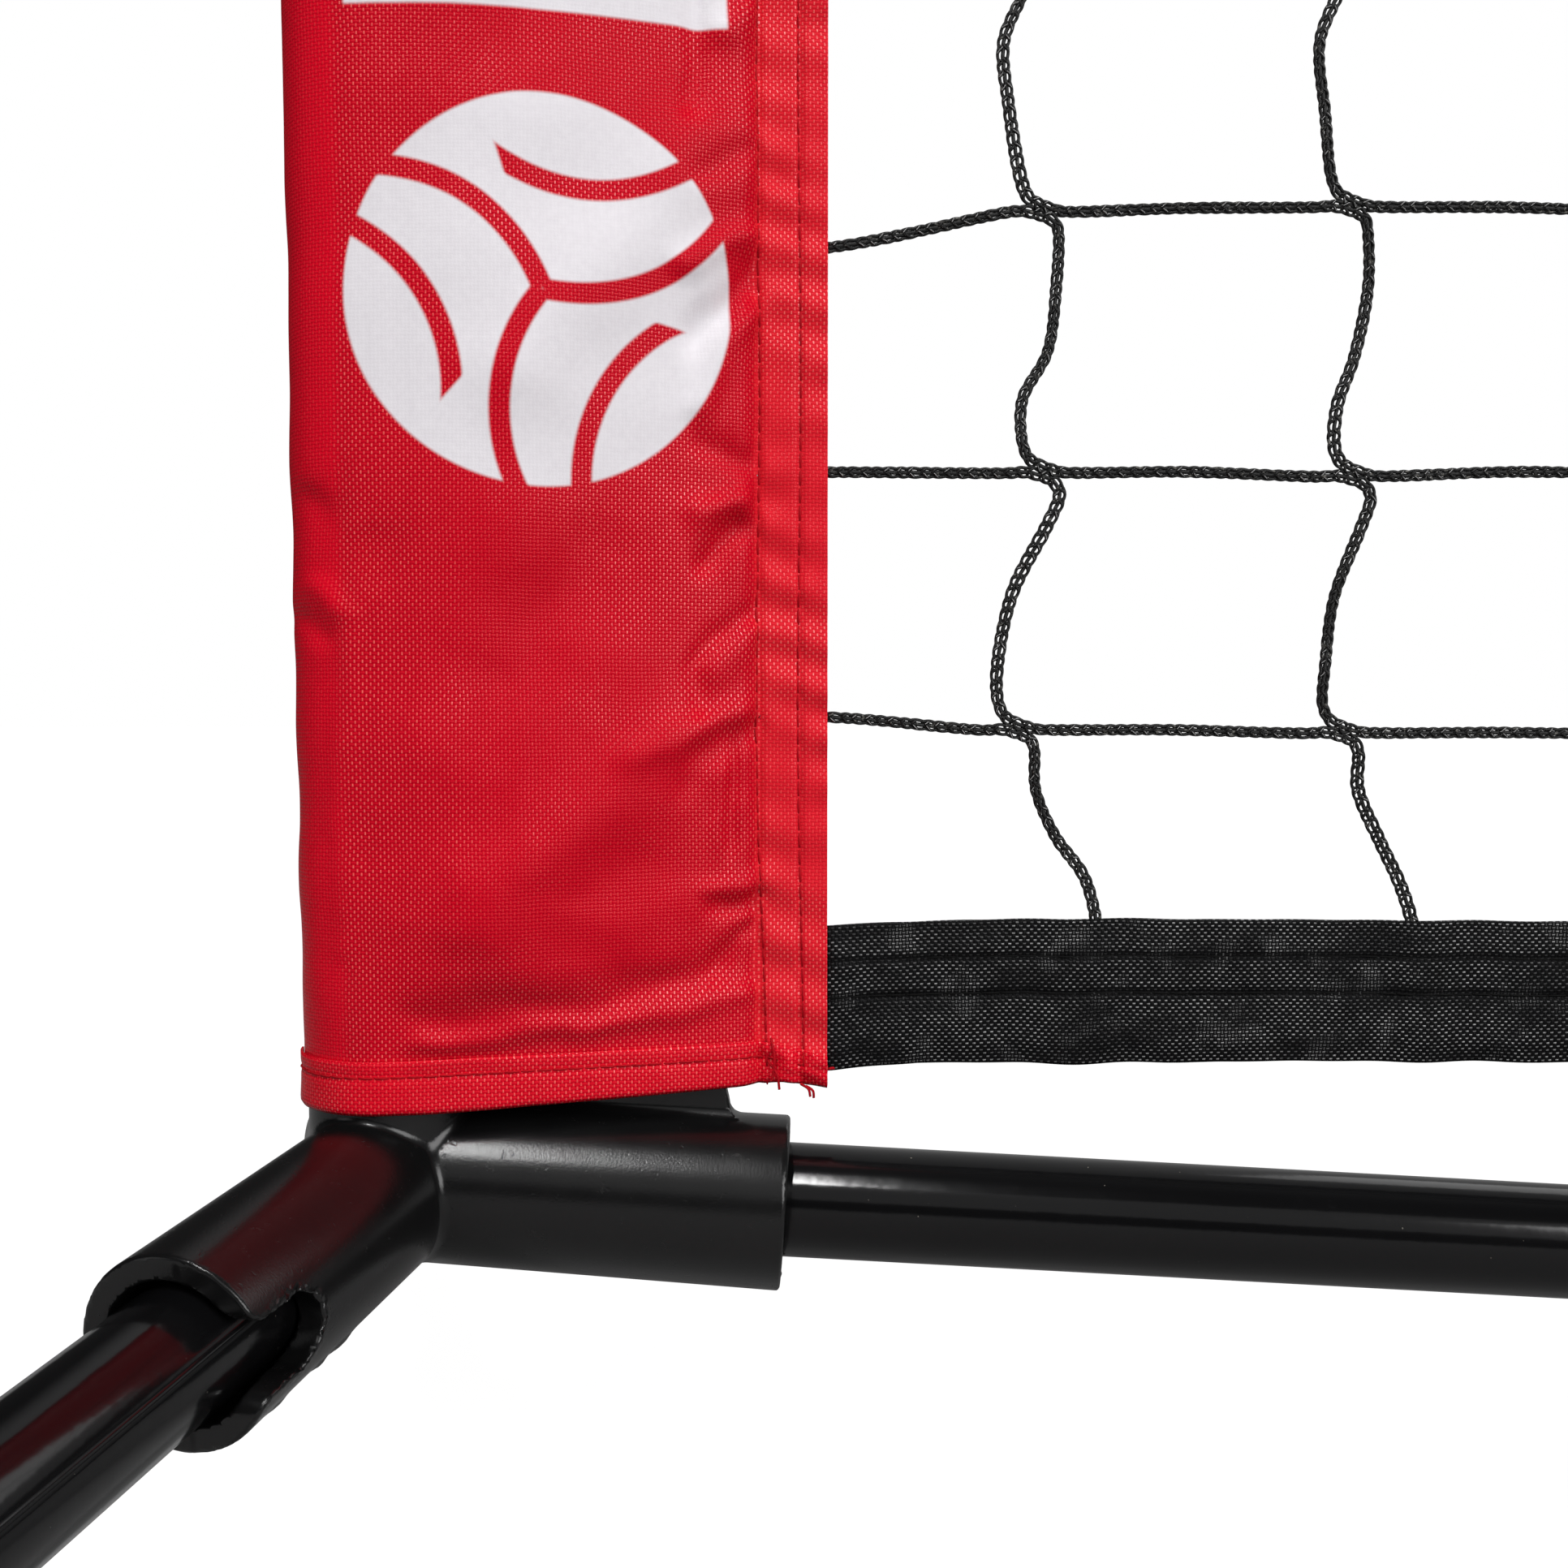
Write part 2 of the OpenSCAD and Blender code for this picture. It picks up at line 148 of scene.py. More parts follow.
class Nodes:
    """A node tree, with short ways to add and join nodes."""

    def __init__(self, tree):
        self.tree = tree

    def node(self, kind, settings=None, **inputs):
        made = self.tree.nodes.new("ShaderNode" + kind)
        for key, value in (settings or {}).items():
            setattr(made, key, value)
        for key, value in inputs.items():
            self.put(made.inputs[int(key[1:]) if key[0] == "i" and key[1:].isdigit() else key], value)
        return made

    def put(self, socket, value):
        if isinstance(value, bpy.types.NodeSocket):
            self.tree.links.new(value, socket)
        else:
            socket.default_value = value

    def math(self, operation, a, b=0.0, c=0.0, clamp=False):
        made = self.node("Math", {"operation": operation, "use_clamp": clamp}, i0=a, i1=b, i2=c)
        return made.outputs[0]

    def times(self, a, b):
        return self.math("MULTIPLY", a, b)

    def less(self, a, b):
        return self.math("SUBTRACT", a, b)

    def line(self, value, slope, start, clamp=False):
        """A value times its slope, plus a start."""
        return self.math("MULTIPLY_ADD", value, slope, start, clamp)

    def apart(self, a, b):
        return self.math("ABSOLUTE", self.less(a, b))

    def smooth(self, value, low, high, to_low=0.0, to_high=1.0):
        made = self.node("MapRange", {"interpolation_type": "SMOOTHSTEP"}, i0=value, i1=low, i2=high,
                         i3=to_low, i4=to_high)
        return made.outputs[0]

    def noise(self, vector, scale, detail=2.0, roughness=0.5):
        made = self.node("TexNoise", Vector=vector, Scale=scale, Detail=detail, Roughness=roughness)
        return made.outputs["Fac"]

    def mix(self, share, a, b):
        return self.node("Mix", {"data_type": "RGBA"}, i0=share, i6=a, i7=b).outputs[2]

    def mix_values(self, share, a, b):
        return self.node("Mix", {"data_type": "FLOAT"}, i0=share, i2=a, i3=b).outputs[0]


class Shader(Nodes):
    """A material's node tree."""

    def __init__(self, name):
        self.material = bpy.data.materials.new(name)
        self.material.use_nodes = True
        super().__init__(self.material.node_tree)
        self.surface = self.tree.nodes["Principled BSDF"]

    def place(self):
        return self.node("TexCoord").outputs["Object"]

    def flat(self):
        """A sheet's own coordinates, in metres, or a cord's: along it, and as a share round it."""
        made = self.node("SeparateXYZ", i0=self.node("TexCoord").outputs["UV"])
        return made.outputs[0], made.outputs[1]

    def bump(self, height, strength, distance):
        return self.node("Bump", Height=height, Strength=strength, Distance=distance).outputs["Normal"]

    def finish(self, base, rough, shine, normal=None):
        self.put(self.surface.inputs["Base Color"], base)
        self.put(self.surface.inputs["Roughness"], rough)
        self.put(self.surface.inputs["Specular IOR Level"], shine)
        if normal is not None:
            self.put(self.surface.inputs["Normal"], normal)
        return self.material


def colour(r, g, b):
    """An sRGB colour, 0 to 255, as linear."""
    parts = [c / 255 for c in (r, g, b)]
    return tuple(c / 12.92 if c <= 0.04045 else ((c + 0.055) / 1.055) ** 2.4 for c in parts) + (1.0,)


def moulded_black():
    s = Shader("moulded_black")
    at = s.place()
    cloud = s.noise(at, 140, 3)
    grain = s.noise(at, 2600, 2)
    pits = s.smooth(s.noise(at, 900, 1), 0.66, 0.78)
    scuff = s.smooth(s.noise(at, 420, 4, 0.7), 0.60, 0.80)
    base = s.mix(cloud, colour(12, 12, 13), colour(18, 18, 18))
    base = s.mix(s.times(scuff, 0.3), base, colour(44, 43, 42))
    rough = s.line(scuff, 0.12, s.line(cloud, 0.08, 0.20))
    relief = s.less(s.times(grain, 0.5), s.times(pits, 0.5))
    return s.finish(base, rough, 0.42, s.bump(relief, 0.32, 0.00010))


def painted_tube():
    s = Shader("painted_tube")
    at = s.place()
    peel = s.noise(at, 260, 2)
    drift = s.noise(at, 24, 3)
    dust = s.smooth(s.noise(at, 1500, 1), 0.80, 0.84)
    rub = s.smooth(s.noise(at, 300, 5, 0.75), 0.62, 0.80)
    base = s.mix(drift, colour(9, 9, 10), colour(15, 15, 16))
    base = s.mix(s.times(dust, 0.6), base, colour(140, 135, 125))
    rough = s.line(rub, 0.16, s.line(drift, 0.06, 0.10))
    return s.finish(base, rough, 0.33, s.bump(peel, 0.08, 0.0004))


def foot_rubber():
    s = Shader("foot_rubber")
    at = s.place()
    dust = s.noise(at, 90, 4, 0.6)
    grain = s.noise(at, 1800, 2)
    base = s.mix(s.smooth(dust, 0.35, 0.75), colour(24, 24, 24), colour(48, 47, 45))
    return s.finish(base, s.line(dust, 0.2, 0.62), 0.3, s.bump(grain, 0.4, 0.00015))


def pale_bush():
    s = Shader("pale_bush")
    at = s.place()
    cloud = s.noise(at, 120, 3)
    base = s.mix(cloud, colour(205, 203, 195), colour(222, 220, 214))
    return s.finish(base, s.line(cloud, 0.15, 0.4), 0.5, s.bump(s.noise(at, 1200, 2), 0.2, 0.0001))


def weave(s, u, v, at):
    """Plain weave of round yarns: its height, and where an upright and where a level yarn lies on top."""
    pitch = YARN * MM
    u = s.line(s.less(s.noise(at, 160, 1), 0.5), pitch * 0.7, u)
    v = s.line(s.less(s.noise(at, 90, 1), 0.5), pitch, v)
    turn_u, turn_v = (s.math("COSINE", s.times(along, math.pi / pitch)) for along in (u, v))
    crossing = s.times(turn_u, turn_v)

    def height(turn, way):
        return s.line(s.times(turn, turn), 0.9, s.line(crossing, 0.55 * way, -0.5))

    def crest(turn):
        return s.smooth(s.math("ABSOLUTE", turn), 0.72, 0.95)

    over_u = s.times(s.smooth(crossing, 0.1, 0.6), crest(turn_u))
    over_v = s.times(s.smooth(crossing, -0.6, -0.1, 1, 0), crest(turn_v))
    return s.math("SMOOTH_MAX", height(turn_u, 1), height(turn_v, -1), 0.15), over_u, over_v


def print_mask(s, u, v):
    """A plain printed ball of curved panels, and level bars of the same width above it."""
    radius = BALL_R * MM
    x = s.less(u, float(outline_at(BALL_X)) * MM)
    y = s.less(v, BALL_Z * MM)
    edge = radius * 0.012

    def from_point(px, py):
        dx, dy = s.less(x, px), s.less(y, py)
        return s.math("SQRT", s.math("ADD", s.times(dx, dx), s.times(dy, dy)))

    def within(value, limit):
        return s.smooth(value, limit - edge, limit + edge, 1, 0)

    mask = within(from_point(0, 0), radius)
    for third in range(3):
        angle = math.radians(100 + 120 * third)
        turn = angle + math.radians(62)
        for reach in (0.95 * radius, 1.5 * radius):
            ring = s.apart(from_point(reach * math.cos(angle), reach * math.sin(angle)), 0.95 * radius)
            ahead = s.math("ADD", s.times(x, math.cos(turn)), s.times(y, math.sin(turn)))
            gap = s.times(within(ring, radius * 0.055), s.smooth(ahead, -edge, edge))
            mask = s.times(mask, s.less(1, gap))
    wide = within(s.math("ABSOLUTE", x), radius * 0.98)
    for level in range(5):
        tall = within(s.apart(y, radius * (1.62 + 0.62 * level)), radius * 0.2)
        mask = s.math("MAXIMUM", mask, s.times(tall, wide))
    return mask


def paint_light_on_sleeve(s, u, base, lit):
    """Painted light on the sleeve: a paler colour over the seam as a painted highlight, a deeper red round
    the pole as painted shade with most painted glints taken away there, and a band beside it where every
    raised yarn carries a painted glint.
    """
    seam = (SLEEVE_REACH - SEAM_X) * MM
    round_side = (HALF_WIDTH - float(outline_at(ROUND_X))) * MM
    # Painted highlight: the seam is paled towards a brighter red, as if it caught more light.
    base = s.mix(s.smooth(u, seam, seam + 0.0015, 0.45, 0.0), base, colour(246, 44, 56))
    turned_by = s.apart(u, HALF_WIDTH * MM)
    painted_round_shade = s.smooth(turned_by, round_side - 0.001, round_side + 0.002, 1.0, 0.0)
    # Painted shade: the side round the pole is tinted a deeper red.
    base = s.mix(s.times(painted_round_shade, 0.45), base, colour(232, 6, 38))
    beside = s.smooth(turned_by, round_side + 0.006, round_side + 0.030)
    # Painted sheen: beside the round side every raised yarn carries its painted glint.
    lit = s.math("MAXIMUM", s.less(1.0, beside), lit)
    # The painted glints mostly fade out on the round side.
    return base, s.times(lit, s.line(painted_round_shade, -0.85, 1.0))


def red_fabric(name, deep, bright, printed=False):
    s = Shader(name)
    u, v = s.flat()
    at = s.place()
    yarn, over_u, over_v = weave(s, u, v, at)
    drift = s.noise(at, 26, 3)
    slub = s.noise(at, 700, 2)
    base = s.mix(drift, deep, bright)
    # Painted shade: the weave's hollows between the yarns are darkened.
    base = s.mix(s.smooth(yarn, -0.6, 0.15, 0.7, 0), base, colour(140, 0, 18))
    # Painted light: a noise field decides where the raised yarns catch the light.
    lit = s.smooth(drift, 0.40, 0.60, 0.2, 1.0)
    if printed:
        base, lit = paint_light_on_sleeve(s, u, base, lit)
    # Painted highlight: where they do, the tops of the upright yarns are tinted pale pink as glints.
    raised = s.times(over_u, lit)
    base = s.mix(s.times(raised, s.smooth(slub, 0.3, 0.7, 0.35, 0.8)), base, colour(252, 112, 100))
    shine = s.line(raised, 0.95, s.line(over_v, 0.15, 0.04))
    rough = s.line(slub, 0.12, 0.22)
    depth = 0.55
    if printed:
        mask = print_mask(s, u, v)
        ink = s.mix(s.noise(at, 900, 3), colour(226, 221, 226), colour(238, 234, 238))
        base = s.mix(mask, base, ink)
        rough = s.line(mask, 0.2, rough)
        shine = s.line(mask, -0.6, shine, clamp=True)
        depth = s.line(mask, -0.4, depth)
    relief = s.line(yarn, 0.5, s.times(slub, 0.2))
    return s.finish(base, rough, shine, s.bump(relief, depth, 0.00018))


def black_tape():
    s = Shader("black_tape")
    u, v = s.flat()
    at = s.place()
    yarn, over_u, over_v = weave(s, u, v, at)
    drift = s.noise(at, 34, 2)
    # Painted light: slanted patches where the level yarns catch the light, with fewer of them along the
    # stitch lines.
    slanted = s.node("CombineXYZ", i0=s.line(v, 45, s.times(u, 55)), i1=s.times(v, 150)).outputs[0]
    painted_light_patch = s.smooth(s.noise(slanted, 1.0, 2), 0.38, 0.54, 0.28, 1.0)
    across = s.apart(v, 2 * TAPE_WIDTH * MM)
    from_middle = s.apart(across, (TAPE_WIDTH - sum(TAPE_SEAMS) / 2) * MM)
    from_seams = s.apart(from_middle, (TAPE_SEAMS[1] - TAPE_SEAMS[0]) / 2 * MM)
    painted_light_patch = s.times(painted_light_patch, s.smooth(from_seams, 0.0004, 0.0012, 0.1, 1.0))
    # Painted glints on a few upright yarns as well.
    stray = s.smooth(s.noise(at, 130, 2), 0.55, 0.72, 0, 0.4)
    slub = s.smooth(s.noise(at, 800, 2), 0.35, 0.6, 0.3, 1.0)
    painted_glints = s.line(over_v, s.times(painted_light_patch, slub), s.times(over_u, stray), clamp=True)
    base = s.mix(drift, colour(12, 12, 13), colour(18, 18, 19))
    # Painted highlight: the glints are tinted pale grey into the black.
    base = s.mix(s.times(painted_glints, 0.8), base, colour(165, 165, 165))
    return s.finish(base, 0.3, s.line(painted_glints, 0.9, 0.06), s.bump(yarn, 0.6, 0.00018))


def net_cord():
    s = Shader("net_cord")
    along, around = s.flat()
    at = s.place()
    turns = s.times(along, 2 * math.pi / (CORD_TWIST * MM))
    stitch = s.math("COSINE", turns)
    twist = s.math("COSINE", s.line(around, 3 * 2 * math.pi, turns))
    fibre = s.noise(at, 2200, 3, 0.7)
    relief = s.line(stitch, 0.5, s.line(twist, 0.5, s.times(fibre, 0.6)))
    fleck = s.smooth(fibre, 0.62, 0.74)
    base = s.mix(s.times(fleck, 0.5), colour(17, 17, 17), colour(105, 104, 100))
    return s.finish(base, 0.62, 0.35, s.bump(relief, 0.6, 0.00025))


def net_strand():
    s = Shader("net_strand")
    at = s.place()
    fibre = s.noise(at, 2600, 3, 0.7)
    # Painted glints: small pale flecks in the black of the strands.
    fleck = s.smooth(s.noise(at, 1300, 2), 0.62, 0.70)
    base = s.mix(s.times(fleck, 0.65), colour(15, 15, 15), colour(120, 118, 112))
    return s.finish(base, s.line(fibre, 0.3, 0.38), 0.4, s.bump(fibre, 0.6, 0.00015))


def thread(name, dark, light):
    s = Shader(name)
    fibre = s.noise(s.place(), 3000, 2)
    return s.finish(s.mix(fibre, dark, light), s.line(fibre, 0.2, 0.6), 0.15, s.bump(fibre, 0.5, 0.0001))


# Meshes


def ramp(value, start, end):
    """0 up to the start, 1 from the end on, and even between them."""
    return np.clip((value - start) / (end - start), 0, 1)


def eased(share):
    return share * share * (3 - 2 * share)


def unit(vectors):
    return vectors / np.maximum(np.linalg.norm(vectors, axis=1, keepdims=True), 1e-9)


def lengths(path):
    """The distance along a path at each of its points."""
    return np.concatenate([[0], np.cumsum(np.linalg.norm(np.diff(path, axis=0), axis=1))])


def picked(at, length, values):
    """Rows of values at distances along a path."""
    return np.stack([np.interp(at, length, values[:, k]) for k in range(values.shape[1])], 1)


def directions(path):
    """Unit vectors ahead, to the side and up, at each point of a path."""
    ahead = unit(np.gradient(path, axis=0))
    side = unit(np.cross(ahead, np.where(np.abs(ahead[:, 1:2]) > 0.95, [[1.0, 0, 0]], [[0, 1.0, 0]])))
    return ahead, side, np.cross(side, ahead)


def uv_grid(down, across):
    return np.stack(np.meshgrid(down, across, indexing="ij"), -1).reshape(-1, 2)


def grid(rows, columns, closed=False):
    """Quads of a grid of points, and their corners in a grid of UVs, one column wider where it closes."""
    r, c = np.meshgrid(np.arange(rows - 1), np.arange(columns if closed else columns - 1), indexing="ij")

    def quads(width, across):
        here = r * width
        quad = [here + c, here + across, here + width + across, here + width + c]
        return np.stack(quad, -1).reshape(-1, 4)

    return quads(columns, (c + 1) % columns), quads(columns + 1 if closed else columns, c + 1)


class Pile:
    """Gathers grids of points, in millimetres from the left hub, into one piece."""

    def __init__(self):
        self.points, self.faces, self.uvs, self.corners = [], [], [], []
        self.count = self.uv_count = 0

    def add(self, points, faces, uvs=None, corners=None):
        points = np.asarray(points, float)
        if uvs is None:
            uvs, corners = points[:, [0, 2]] * MM, faces
        self.points.append(points)
        self.faces.append(faces + self.count)
        self.uvs.append(uvs)
        self.corners.append(corners + self.uv_count)
        self.count += len(points)
        self.uv_count += len(uvs)

    def build(self, name, material, body, slot, replaces=(), side="left", normals=None):
        points, faces = np.concatenate(self.points), np.concatenate(self.faces)
        uvs, corners = np.concatenate(self.uvs), np.concatenate(self.corners)
        if side == "right":
            faces, corners = faces[:, ::-1], corners[:, ::-1]
        mesh = bpy.data.meshes.new(name)
        mesh.vertices.add(len(points))
        mesh.vertices.foreach_set("co", to_world(points, side).astype(np.float32).ravel())
        mesh.loops.add(faces.size)
        mesh.loops.foreach_set("vertex_index", np.ascontiguousarray(faces, np.int32).ravel())
        mesh.polygons.add(len(faces))
        mesh.polygons.foreach_set("loop_start", np.arange(0, faces.size, faces.shape[1], dtype=np.int32))
        mesh.polygons.foreach_set("use_smooth", np.ones(len(faces), bool))
        layer = mesh.uv_layers.new(name="UVMap")
        layer.data.foreach_set("uv", uvs[corners.ravel()].astype(np.float32).ravel())
        mesh.update(calc_edges=True)
        if normals is not None:
            outwards = normals * (np.array([-1, 1, 1]) if side == "right" else 1)
            mesh.normals_split_custom_set_from_vertices(outwards.astype(np.float32))
        piece = placed(name, mesh)
        mesh.materials.append(material)
        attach(piece, body)
        if replaces:
            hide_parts(*replaces)
        return piece


def build_sides(pile, name, material, bodies, slot, nodes, normals=None):
    """The left piece and its mirror image on the right."""
    made = {}
    for side in ("left", "right"):
        body = bodies if bodies in frame["bodies"] else f"{bodies}_{side}"
        replaced = [f"{node}_{side}" for node in nodes]
        made[side] = pile.build(f"{name}_{side}", material, body, slot, replaced, side, normals)
    return made


def thicken(piece, thickness):
    """Gives a sheet its thickness, inwards from its outer face."""
    solid = piece.modifiers.new("cloth", "SOLIDIFY")
    solid.thickness = thickness * MM
    solid.offset = -1.0


def axes_of(azimuth, droop):
    """Unit vectors across (down), sideways and along a line that leaves at an azimuth and falls."""
    a, d = math.radians(azimuth), math.radians(droop)
    return (np.array([-math.cos(a) * math.sin(d), -math.sin(a) * math.sin(d), -math.cos(d)]),
            np.array([-math.sin(a), math.cos(a), 0]),
            np.array([math.cos(a) * math.cos(d), math.sin(a) * math.cos(d), -math.sin(d)]))


def turned(profile, angles, origin, axes, raised):
    """A profile of (radius, along) turned round a line, with its outside raised by the given heights."""
    across, side, along = axes
    profile = np.asarray(profile, float)
    radius = profile[:, :1] + raised * (profile[:, :1] > TUBE_R - 0.01)
    spokes = np.cos(angles)[None, :, None] * across + np.sin(angles)[None, :, None] * side
    points = np.asarray(origin) + radius[..., None] * spokes + profile[:, 1][:, None, None] * along
    faces, corners = grid(len(profile), len(angles), closed=True)
    round_it = np.append(angles, angles[0] + 2 * math.pi) / (2 * math.pi)
    return points.reshape(-1, 3), faces[:, ::-1], uv_grid(lengths(profile) * MM, round_it), corners[:, ::-1]


def tube_profile(start, end, radius=TUBE_R, wall=TUBE_WALL, edge=0.35):
    """A tube's wall from inside to outside and back, with rolled ends."""
    arc = np.linspace(0, math.pi / 2, 4)
    inner, middle = radius - wall, radius - wall / 2
    far = [(radius - edge + edge * math.cos(t), end - edge + edge * math.sin(t)) for t in arc]
    near = [(radius - edge + edge * math.sin(t), start + edge - edge * math.cos(t)) for t in arc]
    return [(middle, start)] + near + far + [(middle, end), (inner, end), (inner, start), (middle, start)]


def weld_angles(steps=96):
    """Angles round a tube, with close ones over the weld seam, and the seam's height there."""
    near = WELD_AT + np.radians([-5, -3, -2, -1.2, -0.5, 0, 0.5, 1.2, 2, 3, 5])
    rest = np.linspace(0, 2 * math.pi, steps, endpoint=False)
    rest = rest[np.abs((rest - WELD_AT + math.pi) % (2 * math.pi) - math.pi) > math.radians(6)]
    angles = np.sort(np.concatenate([near, rest]))
    away = np.degrees(np.abs(angles - WELD_AT))
    return angles, 0.07 * np.exp(-(away / 1.0) ** 2) - 0.04 * np.exp(-((away - 2.6) / 1.1) ** 2)


def make_tubes(paint):
    angles, weld = weld_angles()
    upright = np.eye(3)

    def tube(start, end, axes, origin=(0, 0, 0), raised=weld, radius=TUBE_R):
        pile = Pile()
        pile.add(*turned(tube_profile(start, end, radius), angles, origin, axes, raised))
        return pile

    for end, azimuth in LEGS:
        leg = tube(BORE_START, LEG_REACH, axes_of(azimuth, LEG_DROOP))
        build_sides(leg, f"{end}_leg_tube", paint, f"{end}_leg", "painted_tube", [f"{end}_leg"])
    bar_end = KNEE_X / math.cos(math.radians(BAR_DROOP)) - COUPLER_STOP / 2
    bar = tube(BORE_START + 1, bar_end, axes_of(0, BAR_DROOP), (0, 0, -BAR_SAG))
    build_sides(bar, "bar_end_tube", paint, "base", "painted_tube", ["bar_end_section"])
    start = KNEE_X + COUPLER_STOP / 2
    middle = tube(start, start + (middle_high.x - middle_low.x) / MM, axes_of(0, 0), (0, 0, KNEE_Z))
    middle.build("bar_middle_tube", paint, "base", "painted_tube", ["bar_middle_section"])
    outer_r = (pole_high.x - pole_low.x) / 2 / MM
    outer = tube(above_hub(pole_low.z), above_hub(pole_high.z), upright, raised=0, radius=outer_r)
    build_sides(outer, "outer_pole_tube", paint, "base", "painted_tube", ["outer_pole"])
    inner = tube(above_hub(inner_low.z), above_hub(inner_high.z), upright, raised=0)
    build_sides(inner, "inner_pole_tube", paint, "net_unit", "painted_tube", ["inner_pole"])


# Moulded parts: distance fields, from which a mesh is drawn out


def round_union(a, b, radius):
    """Joins two fields with a fillet."""
    corner = np.hypot(np.maximum(radius - a, 0), np.maximum(radius - b, 0))
    return np.maximum(radius, np.minimum(a, b)) - corner


def round_cut(a, b, radius):
    """Takes b out of a, with a rounded edge."""
    return -round_union(-a, b, radius)


def rod(radial, along, radius, start, end, edge):
    """A round bar with rounded ends."""
    a = radial - radius + edge
    b = np.abs(along - (start + end) / 2) - (end - start) / 2 + edge
    return np.minimum(np.maximum(a, b), 0) + np.hypot(np.maximum(a, 0), np.maximum(b, 0)) - edge


def along_line(p, azimuth, droop):
    across, side, along = axes_of(azimuth, droop)
    return p @ across, p @ side, p @ along


CELL = np.array([(i, j, k) for i in (0, 1) for j in (0, 1) for k in (0, 1)])


def field_values(field, low, high, step, coarse=4):
    """A field on a grid of points: exact near its surface, and rough farther off."""
    cells = np.ceil((high - low) / (step * coarse)).astype(int)
    axes = [low[k] + step * coarse * (np.arange(cells[k]) + 0.5) for k in range(3)]
    values = field(np.stack(np.meshgrid(*axes, indexing="ij"), -1).reshape(-1, 3)).reshape(cells)
    for axis in range(3):
        values = values.repeat(coarse, axis)
    values = values.astype(np.float32)
    near = np.abs(values) < step * coarse * 1.25
    values[near] = field(low + step * np.argwhere(near))
    return values


def surface_points(values):
    """Each mixed cell's number, and where in the grid the surface crosses its edges on average."""
    inside = values < 0
    n = np.array(values.shape) - 1
    count = sum(inside[i:n[0] + i, j:n[1] + j, k:n[2] + k].astype(np.int8) for i, j, k in CELL)
    mixed = (count > 0) & (count < len(CELL))
    cell = np.argwhere(mixed)
    corner = np.stack([values[tuple((cell + o).T)] for o in CELL], 1)
    total, hits = np.zeros((len(cell), 3)), np.zeros(len(cell))
    for a in range(8):
        for b in range(a + 1, 8):
            if np.abs(CELL[a] - CELL[b]).sum() != 1:
                continue
            va, vb = corner[:, a], corner[:, b]
            cross = (va < 0) != (vb < 0)
            t = np.where(cross, va / np.where(cross, va - vb, 1), 0)
            total += np.where(cross[:, None], CELL[a] + t[:, None] * (CELL[b] - CELL[a]), 0)
            hits += cross
    number = np.full(mixed.shape, -1, np.int32)
    number[mixed] = np.arange(len(cell))
    return number, cell + total / hits[:, None]


def surface_faces(inside, number):
    """A quad for each step between grid points that crosses the surface, facing outwards."""
    n = inside.shape
    faces = []
    for axis in range(3):
        other, third = (axis + 1) % 3, (axis + 2) % 3
        start, stop = [slice(None)] * 3, [slice(None)] * 3
        start[axis], stop[axis] = slice(0, -1), slice(1, None)
        where = np.argwhere(inside[tuple(start)] != inside[tuple(stop)])
        for across in (other, third):
            where = where[(where[:, across] > 0) & (where[:, across] < n[across] - 1)]
        quad = []
        for du, dv in ((1, 1), (0, 1), (0, 0), (1, 0)):
            at = where.copy()
            at[:, other] -= du
            at[:, third] -= dv
            quad.append(number[tuple(at.T)])
        quad = np.stack(quad, 1)
        flip = ~inside[tuple(where.T)]
        quad[flip] = quad[flip][:, ::-1]
        faces.append(quad)
    return np.concatenate(faces)


def drawn_out(field, low, high, step):
    """A quad mesh of the surface where a field is zero: points, faces and normals."""
    values = field_values(field, low, high, step)
    number, crossings = surface_points(values)
    points = low + step * crossings
    small = step * 0.2
    slope = unit(np.stack([field(points + small * e) - field(points - small * e) for e in np.eye(3)], 1))
    return points - field(points)[:, None] * slope, surface_faces(values < 0, number), slope


def ragged(a, b):
    """A rough field from 0 to 1, for moulding flash."""
    waves = np.sin(5.3 * a + 2.1 * np.sin(3.7 * b)), np.sin(6.7 * b + 1.7 * np.sin(4.9 * a))
    return 0.5 + 0.25 * waves[0] + 0.25 * waves[1]


def web_field(x, y, z):
    """The upright web between the boss and the bar's socket."""
    far_edge = (x - WEB_REACH) * math.cos(WEB_LEAN) + (z - 5) * math.sin(WEB_LEAN)
    under_edge = -z - 3 - 0.07 * x
    upper_edge = (z - WEB_TOP + WEB_FALL * x) * WEB_COS
    return np.max([np.abs(y) - WEB_HALF, far_edge, -x, under_edge, upper_edge], axis=0)


def opened_for_leg(body, x, inwards, t):
    """The fitting with a leg socket's bore, its notch with traces of flash, and three moulding bits."""
    radius = TUBE_R + 0.12 + FLARE * np.clip((t - FLARE_START) / FLARE_RUN, 0, 2)
    body = round_cut(body, rod(np.hypot(x, inwards), t, radius, BORE_START, THROUGH, 0.3), 0.35)
    slot = np.hypot(x, np.minimum(t - SLOT_START, 0)) - SLOT_R
    rim = np.exp(-(slot / 0.9) ** 2) * (inwards > 4) * ramp(t, 60, 56)
    body = body - 0.42 * rim * ragged(x * 1.3, t * 1.1) ** 2
    opening = round_union(slot, LEG_SOCKET - t, SLOT_MOUTH_R)
    body = round_cut(body, np.maximum(opening, 2 - inwards), 0.45)
    for spot, run in ((36.5, 4.0), (42.5, 2.4), (54.0, 3.0)):
        bit = np.sqrt((x - 10.4) ** 2 + (inwards - 9.3) ** 2 + ((t - spot) / run) ** 2) - 0.75
        body = round_union(body, bit, 0.5)
    return body


